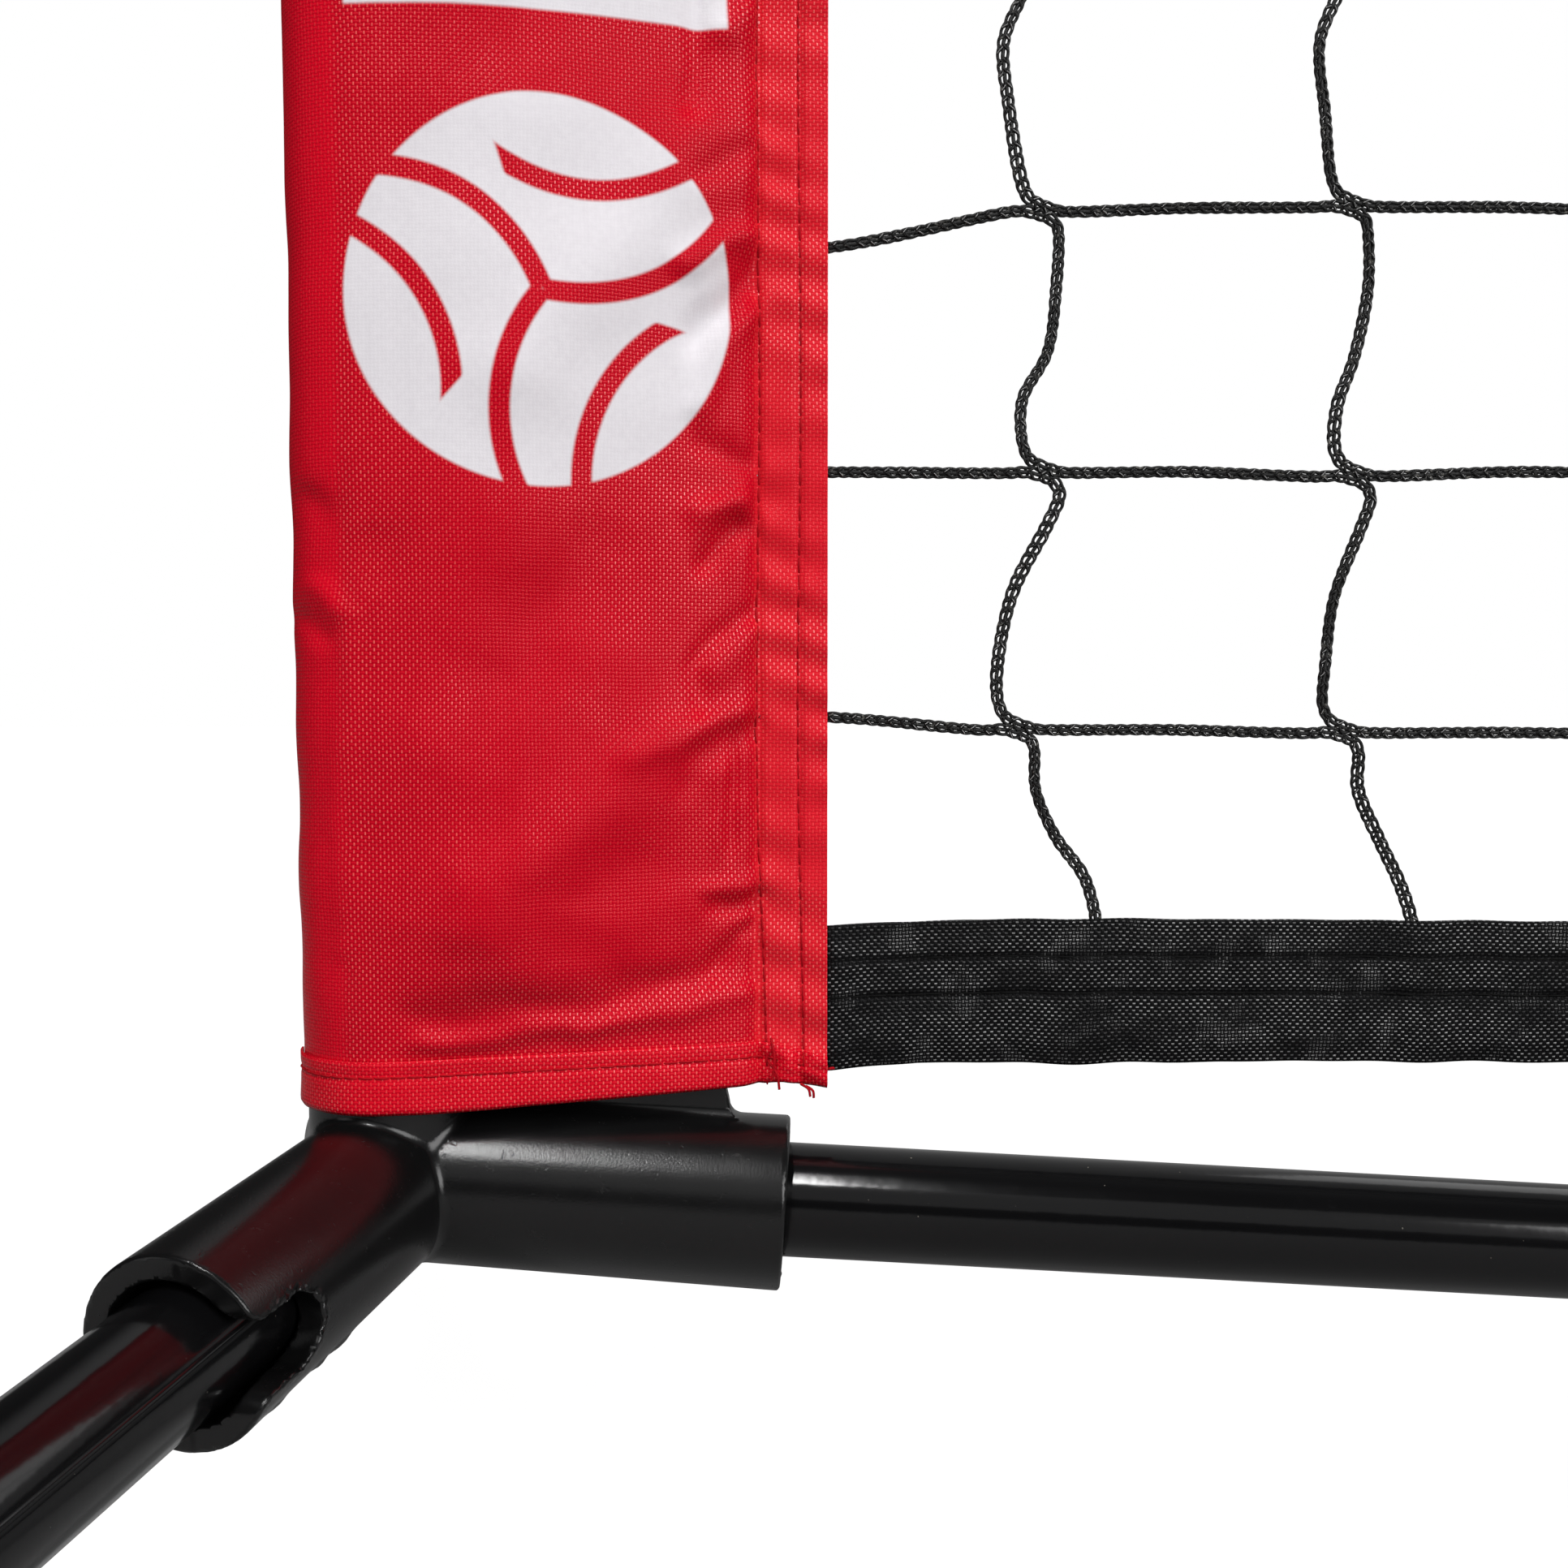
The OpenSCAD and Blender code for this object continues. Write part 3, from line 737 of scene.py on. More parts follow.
def fitting_field(p):
    """The corner fitting: an upright boss and three sockets that leave one centre."""
    upright = np.hypot(p[:, 0], p[:, 1])
    body = rod(upright, p[:, 2], BOSS_R, 0, BOSS_HEIGHT, 0.8)
    body = round_union(body, np.linalg.norm(p, axis=1) - SOCKET_ROOT_R + 0.3, 0.8)
    legs = [along_line(p, azimuth, LEG_DROOP) for _, azimuth in LEGS]
    bar = along_line(p, 0, SOCKET_DROOP)
    for (x, s, t), length in ((legs[0], LEG_SOCKET), (legs[1], LEG_SOCKET), (bar, BAR_SOCKET)):
        radius = SOCKET_ROOT_R + (SOCKET_MOUTH_R - SOCKET_ROOT_R) * np.clip(t / length, 0, 1)
        body = round_union(body, rod(np.hypot(x, s), t, radius, 0, length, 0.7), 1.1)
    body = round_union(body, web_field(*p.T), 1.6)
    for (x, s, t), way in zip(legs, (1, -1)):
        body = opened_for_leg(body, x, s * way, t)
    x, s, t = bar
    body = round_cut(body, rod(np.hypot(x, s), t, TUBE_R + 0.7, BORE_START, THROUGH, 0.3), 0.4)
    body = np.minimum(body, np.sqrt((x - 11.7) ** 2 + (s + 2) ** 2 + (t - BAR_SOCKET - 0.1) ** 2) - 0.55)
    return round_cut(body, rod(upright, p[:, 2], BOSS_BORE_R, BOSS_FLOOR, THROUGH, 0.5), 0.5)


def coupler_field(p):
    """A coupler where the bar bends: two sleeves with beaded ends, and a ring that stands on the ground."""
    q = p - np.array([KNEE_X, 0, KNEE_Z])
    x, s, t = along_line(q, 0, BAR_DROOP / 2)
    body = rod(np.hypot(x, s), t, COUPLER_RING_R, -RING_HALF, RING_HALF, 1.2)
    for x, s, t in (along_line(q, 0, 0), along_line(q, 180, -BAR_DROOP)):
        radial = np.hypot(x, s)
        body = round_union(body, rod(radial, t, COUPLER_R, -1, COUPLER_HALF, 0.7), 1.2)
        bead = rod(radial, t, COUPLER_R + 0.5, COUPLER_HALF - BEAD, COUPLER_HALF, 0.8)
        body = round_union(body, bead, 0.6)
        body = round_cut(body, rod(radial, t, TUBE_R + 0.1, COUPLER_STOP / 2, THROUGH, 0.2), 0.3)
    return round_cut(body, p[:, 2] - GROUND, 0.3)


def foot_field(p, azimuth):
    """A rubber foot cap with three grip grooves, worn flat where it stands."""
    x, s, t = along_line(p, azimuth, LEG_DROOP)
    end = LEG_REACH + FOOT_FLOOR
    radial = np.hypot(x, s)
    body = rod(radial, t, FOOT_R, end - FOOT_LENGTH, end, 1.8)
    for groove in FOOT_GROOVES:
        body = round_cut(body, np.hypot(radial - FOOT_R - 0.3, t - end + groove) - 0.9, 0.3)
    body = round_cut(body, rod(radial, t, TUBE_R + 0.1, end - THROUGH, LEG_REACH, 0.2), 0.4)
    return round_cut(body, p[:, 2] - GROUND, 0.3)


def make_mouldings(black, rubber):
    def mould(name, node, field, low, size, step, material, body, slot):
        low = np.array(low, float)
        points, faces, normals = drawn_out(field, low, low + size, step)
        pile = Pile()
        pile.add(points, faces)
        build_sides(pile, name, material, body, slot, [node], normals)

    mould("corner_moulding", "corner_fitting", fitting_field, (-36, -80, -27), (110, 160, 91), 0.69,
          black, "base", "moulded_black")
    mould("coupler_moulding", "bar_coupler", coupler_field, (KNEE_X - 52, -16, GROUND - 1),
          (104, 32, 36), 0.8, black, "base", "moulded_black")
    for end, azimuth in LEGS:
        tip = axes_of(azimuth, LEG_DROOP)[2] * (LEG_REACH - 12)
        mould(f"{end}_foot", f"{end}_foot_cap", lambda p: foot_field(p, azimuth), tip - (24, 30, 20),
              (48, 60, 40), 0.8, rubber, f"{end}_leg", "foot_rubber")


# Sleeves


def spaced(points, step):
    """A path's points at about even steps along its length."""
    points = np.asarray(points, float)
    length = lengths(points)
    return picked(np.linspace(0, length[-1], max(2, int(round(length[-1] / step)) + 1)), length, points)


def curve_through(points, step):
    """A smooth path through points, at about even steps."""
    p = np.asarray(points, float)
    p = np.concatenate([[2 * p[0] - p[1]], p, [2 * p[-1] - p[-2]]])
    t = np.linspace(0, 1, 12, endpoint=False)[:, None]
    gap = np.sqrt(np.linalg.norm(np.diff(p, axis=0), axis=1)) + 1e-6
    out = []
    for i in range(1, len(p) - 2):
        g0, g1, g2 = gap[i - 1], gap[i], gap[i + 1]
        m1 = g1 * ((p[i] - p[i - 1]) / g0 - (p[i + 1] - p[i - 1]) / (g0 + g1) + (p[i + 1] - p[i]) / g1)
        m2 = g1 * ((p[i + 1] - p[i]) / g1 - (p[i + 2] - p[i]) / (g1 + g2) + (p[i + 2] - p[i + 1]) / g2)
        out.append((2 * t ** 3 - 3 * t ** 2 + 1) * p[i] + (t ** 3 - 2 * t ** 2 + t) * m1
                   + (3 * t ** 2 - 2 * t ** 3) * p[i + 1] + (t ** 3 - t ** 2) * m2)
    return spaced(np.concatenate(out + [p[-2:-1]]), step)


def sleeve_outline():
    """The front half of the sleeve in plan, from the free edge of its seam round to the far left."""
    lean = math.asin((WRAP_R - 3.2) / 59.5)
    touch = np.array([WRAP_R * math.sin(lean), -WRAP_R * math.cos(lean)])
    edge = [(SLEEVE_REACH, -LAYER_Y), (70, -LAYER_Y), (66, -LAYER_Y), (63.4, -LAYER_Y - 0.05),
            (61.6, -LAYER_Y - 0.25), (59.4, -3.0), (57, -3.75)]
    angles = np.linspace(-math.pi / 2 + lean, -math.pi, 24)
    arc = [(WRAP_R * math.cos(a), WRAP_R * math.sin(a)) for a in angles]
    return curve_through(edge + [tuple((touch + edge[-1]) / 2)] + arc, 0.25)


OUTLINE = sleeve_outline()
OUTLINE_S = np.arange(len(OUTLINE)) * np.linalg.norm(OUTLINE[1] - OUTLINE[0])
HALF_WIDTH = OUTLINE_S[-1]

# Folds of the front, each a ridge or a dent between two points (x, z), with its width and height.
FOLDS = (
    (12, 44, 52, 76, 7.5, 1.2), (6, 24.5, 30, 28, 2.4, 0.7), (30, 27, 62, 33, 2.4, 0.7),
    (14, 78, 40, 108, 9.0, -1.2), (36, 33, 63, 36, 3.6, -0.8), (4, 31, 36, 32, 3.0, -0.3),
    (2, 42, 54, 46, 4.5, 0.4), (1, 105, 3, 103, 4.5, -0.8), (-9.5, 101, -3.5, 94.5, 1.8, 0.5),
    (-12, 96, -7, 90, 2.0, -0.45), (-4, 94, -5, 40, 1.8, 0.28), (-11, 113, -6, 108, 2.5, -0.5),
    (61.5, 97.5, 51.5, 87, 2.1, -0.6), (51.5, 87, 52, 78.5, 2.0, -0.45), (62, 95, 53.5, 84, 2.4, 0.5),
    (61, 110, 51, 103, 2.4, -0.9), (61, 115, 50, 109, 2.6, 0.8), (63, 76, 51, 72, 2.0, -0.6),
    (51, 72, 50, 65, 2.2, -0.4), (60, 79, 40, 71, 2.6, 0.6), (57.6, 73, 57.4, 55, 1.3, -0.45),
    (55.4, 72, 55.7, 56, 1.4, 0.3), (62, 48, 54, 45, 1.7, -0.7), (61, 43, 55, 36, 1.8, -0.7),
    (62, 50.5, 52, 49, 1.8, 0.45), (62, 152, 50, 138, 2.6, -0.9), (62, 148, 52, 128, 2.2, 0.7),
    (62, 158, 48, 152, 2.2, 0.7), (52, 200, 51, 176, 2.2, -0.7), (62, 120, 52, 124, 2.2, -0.5),
    (20, 130, 60, 176, 8.0, 0.9), (-4, 150, 30, 200, 9.0, -0.5), (0, 60, 20, 92, 7.0, 0.4),
    (56, 188, 62, 196, 2.6, 0.7), (60, 172, 52, 166, 2.2, -0.6),
    (34, 210, 58, 262, 8.0, 0.8), (-6, 230, 30, 300, 9.0, 0.6), (10, 330, 58, 400, 9.0, 0.9),
    (-8, 380, 30, 440, 7.0, -0.6), (20, 450, 60, 500, 8.0, 0.9), (-10, 520, 40, 590, 9.0, 0.7),
    (30, 590, 60, 640, 6.0, -0.7), (0, 640, 50, 700, 8.0, 0.8), (-12, 700, 10, 740, 5.0, -0.6),
    (20, 720, 60, 770, 7.0, 0.8),
)
# How far the loose cloth stands off its closest fit, at distances x from the pole's axis.
BULGE_X = (-14.6, -13.5, -12, -10, -7, -4, 0, 4, 8, 13, 18, 23, 30, 40, 50, 56)
BULGE_Y = (0.0, 0.25, 0.6, 0.75, 0.35, 0.1, 0.35, 1.35, 2.5, 3.5, 4.0, 4.1, 3.5, 2.2, 0.9, 0.0)
# Points that the loose ends of thread at the hem start from, and how far each reaches.
LOOSE_ENDS = (((64.0, -2.2, 24), (0.2, -0.6, -7)), ((63.6, -2.3, 20), (1.8, -0.6, -4.6)),
              ((69.9, -2.0, 15.8), (1.3, -0.4, -1.9)), ((69.0, -2.2, 16.2), (1.6, -0.6, -2.0)),
              ((73.2, -1.0, 18.3), (1.4, 0.0, 0.3)))
# The closed top's rows: the share of the sleeve's depth, and the height above its last level row, which
# lies a drop below the top.
LID_DROP = 2.2
LID = ((0.985, 1.0), (0.95, 1.7), (0.86, 2.1), (0.7, 2.2), (0.45, 2.25), (0.2, 2.3), (0.06, 2.5), (0.02, 2.9))


def outline_at(x):
    """The distance along the outline at a distance x from the pole's axis."""
    return np.interp(-x, -OUTLINE[:, 0], OUTLINE_S)


def outline_x(s):
    return np.interp(s, OUTLINE_S, OUTLINE[:, 0])


def ripple(x, z, seed, scale):
    """A smooth, irregular field of about -1 to 1."""
    draw = np.random.RandomState(seed)
    total = 0
    for _ in range(5):
        angle, phase = draw.uniform(0, 2 * math.pi, 2)
        wave = 2 * math.pi / (scale * draw.uniform(0.6, 1.6))
        total = total + np.sin(wave * (x * math.cos(angle) + z * math.sin(angle)) + phase) / 3
    return total


def fold_height(x, z, back=False):
    """How far the cloth stands out of its plain outline, in millimetres."""
    total = np.zeros(np.broadcast(x, z).shape)
    drift_x = x + 1.1 * ripple(x, z, 41, 24) + 0.25 * ripple(x, z, 42, 8)
    drift_z = z + 1.3 * ripple(x, z, 43, 22) + 0.3 * ripple(x, z, 44, 8)
    for x0, z0, x1, z1, width, height in FOLDS:
        if back:
            z0, z1, height = z1 + 9, z0 + 9, height * 0.8
        run = np.array([x1 - x0, z1 - z0], float)
        length = np.hypot(*run)
        run /= length
        along = (drift_x - x0) * run[0] + (drift_z - z0) * run[1]
        off = (drift_z - z0) * run[0] - (drift_x - x0) * run[1]
        fade = max(2.5, width)
        ends = eased(ramp(along, -fade, fade) * ramp(along, length + fade, length - fade))
        total = total + height * ends * np.exp(-(off / width) ** 2)
    total = 1.7 * total * (1 - 0.75 * ramp(x, 61, 65))
    total = total + 0.24 * ripple(x, z, 5 + back, 26) * np.maximum(ramp(x, 66, 46), 0.2)
    total = total + 0.07 * ripple(x, z, 15 + back, 9) * np.maximum(ramp(x, 46, 58), 0.15)
    wave = np.sin(2 * math.pi * z / 8.8 + 1.2 * np.sin(z / 13.0) + x * 0.16)
    total = total + 0.46 * ramp(x, 60.5, 63.5) * wave * (0.65 + 0.35 * np.sin(z / 9.7 + x / 4.0))
    for line in (SEAM_X + 0.15 * back, SEAM_X + SEAM_GAP):
        total = total - 0.6 * np.exp(-((x - line) / 0.6) ** 2)
    return total


def bulge(x, z):
    """The looseness of the front, drawn in towards the hem."""
    return np.interp(x, BULGE_X, BULGE_Y) * (0.12 + 0.88 * eased(ramp(z, 25, 38)))


def swell(z):
    """How far the sleeve's round side stands off the pole, growing upwards from the fitting."""
    return 0.15 + 1.6 * (1 - np.exp(-np.maximum(z - 60, 0) / 90.0))


def sleeve_surface(s, z, back=False, lift=0.0):
    """Points of the sleeve at a distance along its outline and a height."""
    s, z = np.broadcast_arrays(np.asarray(s, float), np.asarray(z, float))
    x, y = (np.interp(s, OUTLINE_S, OUTLINE[:, k]) for k in (0, 1))
    dx, dy = (np.interp(s, OUTLINE_S, np.gradient(OUTLINE[:, k], OUTLINE_S)) for k in (0, 1))
    away = lift + fold_height(x, z, back) + swell(z) * ramp(x, 8, -14) ** 1.5 + bulge(x, z)
    over_boss = (z < BOSS_HEIGHT + 4) & (x < 20)
    away = np.maximum(away, lift + np.where(over_boss, -0.05, -9.0))
    x, y = x - away * dy, y + away * dx
    y = np.minimum(y, -LAYER_Y - lift + 0.5)
    return np.stack([x, -y if back else y, z], -1)


def hem_edges(x):
    """The heights of the hem's lower and upper edge at a distance from the pole."""
    low = np.interp(x, [-17, 11, 18, 60, 66, 73.5], [13.7, 13.7, 14.0, 16.0, 16.4, 15.3])
    high = np.interp(x, [-17, 18, 60, 64, 73.5], [22.3, 22.7, 23.5, 23.2, 20.8])
    return low, high


def sleeve_columns(step):
    """Distances along the outline: closest over the seam, and as far apart as asked beyond it."""
    seam = np.concatenate([np.arange(0, 16, 0.35), np.arange(16, 30, 0.6)])
    front, last = np.arange(30, 78, step), np.linspace(78, HALF_WIDTH, int((HALF_WIDTH - 78) / step))
    return np.unique(np.round(np.concatenate([seam, front, last]), 4))


def make_sleeves(printed, plain, stitch):
    top = above_hub(sleeve_high.z) - 0.8
    s = sleeve_columns(1.2)
    bottom = hem_edges(outline_x(s))[0] + 0.4
    fine = np.concatenate([np.linspace(0, 0.55, 150), np.linspace(0.55, 1, 70)[1:]])[:, None]
    lower = bottom + fine * (SEEN_Z - bottom)
    upper = np.broadcast_to(np.linspace(SEEN_Z, top - LID_DROP, 61)[1:, None], (60, len(s)))
    z = np.concatenate([lower, upper])
    # The rear takes every third column, from the far left back to the seam.
    behind = np.unique(np.append(np.arange(0, len(s), 3), len(s) - 1))[::-1][1:]
    rear = sleeve_surface(s[None, behind], z[:, behind], back=True)
    rows = np.concatenate([sleeve_surface(s[None, :], z), rear], 1)
    lid = []
    for share, height in LID:
        row = rows[-1].copy()
        row[:, 1] *= share
        row[:, 2] = top - LID_DROP + height + 0.12 * np.sin(row[:, 0] / 3.3)
        lid.append(row)
    rows = np.concatenate([rows, np.array(lid)])
    wide = np.concatenate([s, 2 * HALF_WIDTH - s[behind]])
    faces, corners = grid(*rows.shape[:2])
    uvs = np.stack([np.broadcast_to(wide, rows.shape[:2]), rows[..., 2]], -1).reshape(-1, 2) * MM
    pile = Pile()
    pile.add(rows.reshape(-1, 3), faces[:, ::-1], uvs, corners[:, ::-1])
    made = build_sides(pile, "net_sleeve", printed, "net_unit", "red_fabric", ["sleeve"])
    hems = make_hems(plain)
    seams = make_sleeve_stitches(stitch, top)
    for side, piece in made.items():
        thicken(piece, CLOTH)


def make_hems(plain):
    """The folded hem: a band outside the cloth, its lower edge a fold."""
    s = sleeve_columns(1.0)
    x = outline_x(s)
    low, high = hem_edges(x)
    steps = np.linspace(0, 1, 15)[:, None]
    z = low + steps * (high - low)
    lift = 0.52 + 0.10 * np.sin(np.pi * steps) + 0.10 * ripple(x[None, :], z, 9, 9)
    lift = lift - 0.26 * np.exp(-((z - (high - HEM_STITCH)) / 0.6) ** 2)
    lift = lift + (0.35 + 0.45 * ripple(x[None, :], z, 31, 5.5)) * ramp(x, 61, 63.5)
    lift = lift - 0.45 * ramp(steps, 0.08, 0)
    faces, corners = grid(*z.shape)
    pile = Pile()
    for back in (False, True):
        points = sleeve_surface(s[None, :], z, back, lift).reshape(-1, 3)
        across = 2 * HALF_WIDTH - s if back else s
        uvs = np.stack([across + 0 * z, z + HEM_WEAVE], -1).reshape(-1, 2) * MM
        way = 1 if back else -1
        pile.add(points, faces[:, ::way], uvs, corners[:, ::way])
    made = build_sides(pile, "sleeve_hem", plain, "net_unit", "red_fabric", [])
    for piece in made.values():
        thicken(piece, TAPE_CLOTH)
    return made


def swept(path, radius, sides=6, squash=1.0):
    """A round bar along a path: points, faces, UVs and corners."""
    path = np.asarray(path, float)
    _, side, up = directions(path)
    angles = np.linspace(0, 2 * math.pi, sides, endpoint=False)[None, :, None]
    radius = np.broadcast_to(np.asarray(radius, float), (len(path),))[:, None, None]
    points = path[:, None] + radius * (np.cos(angles) * side[:, None] + squash * np.sin(angles) * up[:, None])
    faces, corners = grid(len(path), sides, closed=True)
    return points.reshape(-1, 3), faces, uv_grid(lengths(path) * MM, np.arange(sides + 1) / sides), corners


def stitched(pile, path, normal, pitch=2.9, radius=0.2, sides=5):
    """A row of lockstitches: each thread rises from a hole, lies on the cloth and sinks again."""
    length = lengths(path)
    shape = np.array([[0.0, -0.32], [0.10, 0.0], [0.5, 0.08], [0.90, 0.0], [1.0, -0.32]])
    for start in np.arange(0, length[-1] - pitch, pitch):
        at = start + shape[:, 0] * pitch
        points = picked(at, length, path) + picked(at, length, normal) * shape[:, 1:2]
        pile.add(*swept(points, radius * np.array([0.7, 1, 1.1, 1, 0.7]), sides))


def make_sleeve_stitches(material, top):
    pile = Pile()
    z = np.arange(16, top - 3, 1.0)
    for back in (False, True):
        out = np.array([[0, 1.0 if back else -1.0, 0]])
        for line, lean in ((SEAM_X, 1.2), (SEAM_X + SEAM_GAP, 0.6)):
            bend = lean * ramp(z, 60, 15) + 0.25 * np.sin(z / 17.0)
            points = sleeve_surface(outline_at(line + bend), z, back)
            lifted = points + out * (0.55 * (z < 22))[:, None]
            stitched(pile, lifted, np.repeat(out, len(points), 0))
        s = np.linspace(0.8, HALF_WIDTH, 160)
        rows = hem_edges(outline_x(s))[1] - HEM_STITCH
        inner, outer = (sleeve_surface(s, rows, back, lift) for lift in (0.0, 1.0))
        stitched(pile, inner + 0.42 * (outer - inner), outer - inner, pitch=2.6)
    for start, run in LOOSE_ENDS:
        start, run = np.array(start, float), np.array(run, float)
        middle = start + run * 0.5 + np.array([0.5, -0.5, 0.3])
        pile.add(*swept(curve_through([start, middle, start + run], 0.4), 0.24, 5))
    return build_sides(pile, "sleeve_stitching", material, "net_unit", "red_fabric", [])


# Tapes


def lower_tape_edges(x, low, high):
    """The lower tape's lower and upper edge, as the photograph shows them at a distance from the pole."""
    wave = 0.35 * ripple(x, 0 * x, 3, 60) * ramp(x, 190, 250) + 0.26 * ripple(x, 0 * x, 4, 17)
    top = np.interp(x, [60, 74, 91, 117, 150, 199], [42.4, 42.8, 43.5, 44.0, 43.7, 43.5]) - 43.5
    bottom = np.interp(x, [60, 74, 89, 112, 140, 199], [18.0, 18.1, 19.4, 19.3, 19.6, 19.6]) - 19.3
    return low + bottom + wave, high + top + wave * 0.6


def straight_edges(x, low, high):
    return 0 * x + low, 0 * x + high


def tape_front(x, low, high, share):
    """The front layer of a folded tape, as rows of points from its lower to its upper edge."""
    inside = ramp(x, SLEEVE_REACH - 1, SLEEVE_REACH + 2)
    inside = inside * ramp(x, 2 * HALF_SPAN - SLEEVE_REACH + 1, 2 * HALF_SPAN - SLEEVE_REACH - 2)
    front = []
    for k in share:
        z = low + (high - low) * k
        below = high - z
        puff = 0.22 * np.abs(np.sin(np.clip(below / TAPE_SEAMS[0], 0, 4) * math.pi / 2 * 0.9 + 0.3))
        crease = sum(np.exp(-((below - line) / 0.45) ** 2) for line in TAPE_SEAMS)
        pucker = sum(np.exp(-((below - line) / 1.6) ** 2) for line in TAPE_SEAMS)
        fold = min(1.0, 0.35 + 5 * k)
        crumple = 0.18 * ripple(x, z, 21, 17) + 0.08 * ripple(x, z, 22, 7)
        crumple = crumple + 0.12 * pucker * ripple(x, z, 23, 5) + 0.16 * ripple(x + 0.8 * z, 0.35 * z, 24, 9)
        thick = 0.72 * fold + puff * min(1, 6 * min(k, 1 - k)) - 0.4 * crease + fold * crumple
        thick = 0.26 + (np.maximum(thick, 0.3) - 0.26) * inside
        front.append(np.stack([x, -thick, z], -1))
    return np.array(front)


def make_tape(node, box, edges, tape, stitch):
    """A strip folded over the net's edge, with two rows of stitches through both layers."""
    z_low, z_high = above_hub(box[0].z), above_hub(box[1].z)
    first = tape_low.x / MM + HALF_SPAN
    last = 2 * HALF_SPAN - first
    x = np.concatenate([np.arange(first, SEEN_X, 1.2), np.linspace(SEEN_X, last, 325)])
    share = np.linspace(0, 1, 52)
    front = tape_front(x, *edges(x, z_low, z_high), share)
    sheet = np.concatenate([front[::-1], front * np.array([1, -1, 1])]).transpose(1, 0, 2)
    faces, corners = grid(len(x), sheet.shape[1])
    width = (np.concatenate([-share[::-1], share]) + 2) * (z_high - z_low)
    pile = Pile()
    pile.add(sheet.reshape(-1, 3), faces, uv_grid(x, width) * MM, corners)
    piece = pile.build(f"{node}_cloth", tape, "net_unit", "black_tape", [node])
    seams = Pile()
    line = np.concatenate([np.arange(first + 10.5, SEEN_X, 1.5), np.arange(SEEN_X, last - 10, 12.0)])
    high = edges(line, z_low, z_high)[1]
    for below in TAPE_SEAMS:
        for out in (-1.0, 1.0):
            path = np.stack([line, 0 * line + out * 0.52, high - below + 0.12 * np.sin(line / 11)], 1)
            stitched(seams, path, np.repeat([[0, out, 0]], len(path), 0), pitch=3.2, sides=4, radius=0.15)
    threads = seams.build(f"{node}_cloth_stitching", stitch, "net_unit", "black_tape")
    thicken(piece, TAPE_CLOTH)


# Net

# A knot's two cords, as points from its middle: one comes down and leaves to the right, the other
# comes from the left and leaves downwards.
KNOT_DOWN = ((-1.5, 3.9), (-0.4, 1.5), (1.4, 0.35), (2.9, -0.2), (4.4, -0.6), (6.0, -0.8))
KNOT_LEFT = ((-3.6, -0.9), (-1.8, -0.75), (-0.4, -0.8), (1.1, -1.15), (2.5, -1.6), (3.6, -2.2),
             (4.4, -3.2), (4.7, -4.8))
# The knots that the photograph shows, by column and row, and the slack cord below each.
KNOTS_SEEN = {(1, 0): (103.7, 76.7), (1, 1): (107.6, 119.7), (1, 2): (107.2, 162.8), (1, 3): (101.6, 204),
              (2, 0): (158.3, 76.2), (2, 1): (159.7, 119.1), (2, 2): (158.6, 163.6), (2, 3): (153.6, 204)}
SLACK_SEEN = {(1, 3): ((102.6, 190.0), (103.4, 180.0)),
              (1, 2): ((111.6, 150.0), (110.2, 139.0), (106.0, 131.0)),
              (1, 1): ((110.2, 110.0), (104.6, 99.0), (102.0, 86.0)),
              (1, 0): ((108.6, 66.0), (112.0, 58.0), (117.0, 51.0)),
              (2, 3): ((155.0, 190.0), (156.0, 178.0)),
              (2, 2): ((163.6, 150.0), (161.4, 138.0), (158.6, 130.0)),
              (2, 1): ((163.0, 110.0), (158.6, 98.0), (157.2, 87.0)),
              (2, 0): ((163.0, 66.0), (167.0, 57.0), (170.4, 50.0))}
LEVELS_SEEN = {0: 77.6, 1: 118.6, 2: 155.8}  # the height at which a row's cord leaves the sleeve


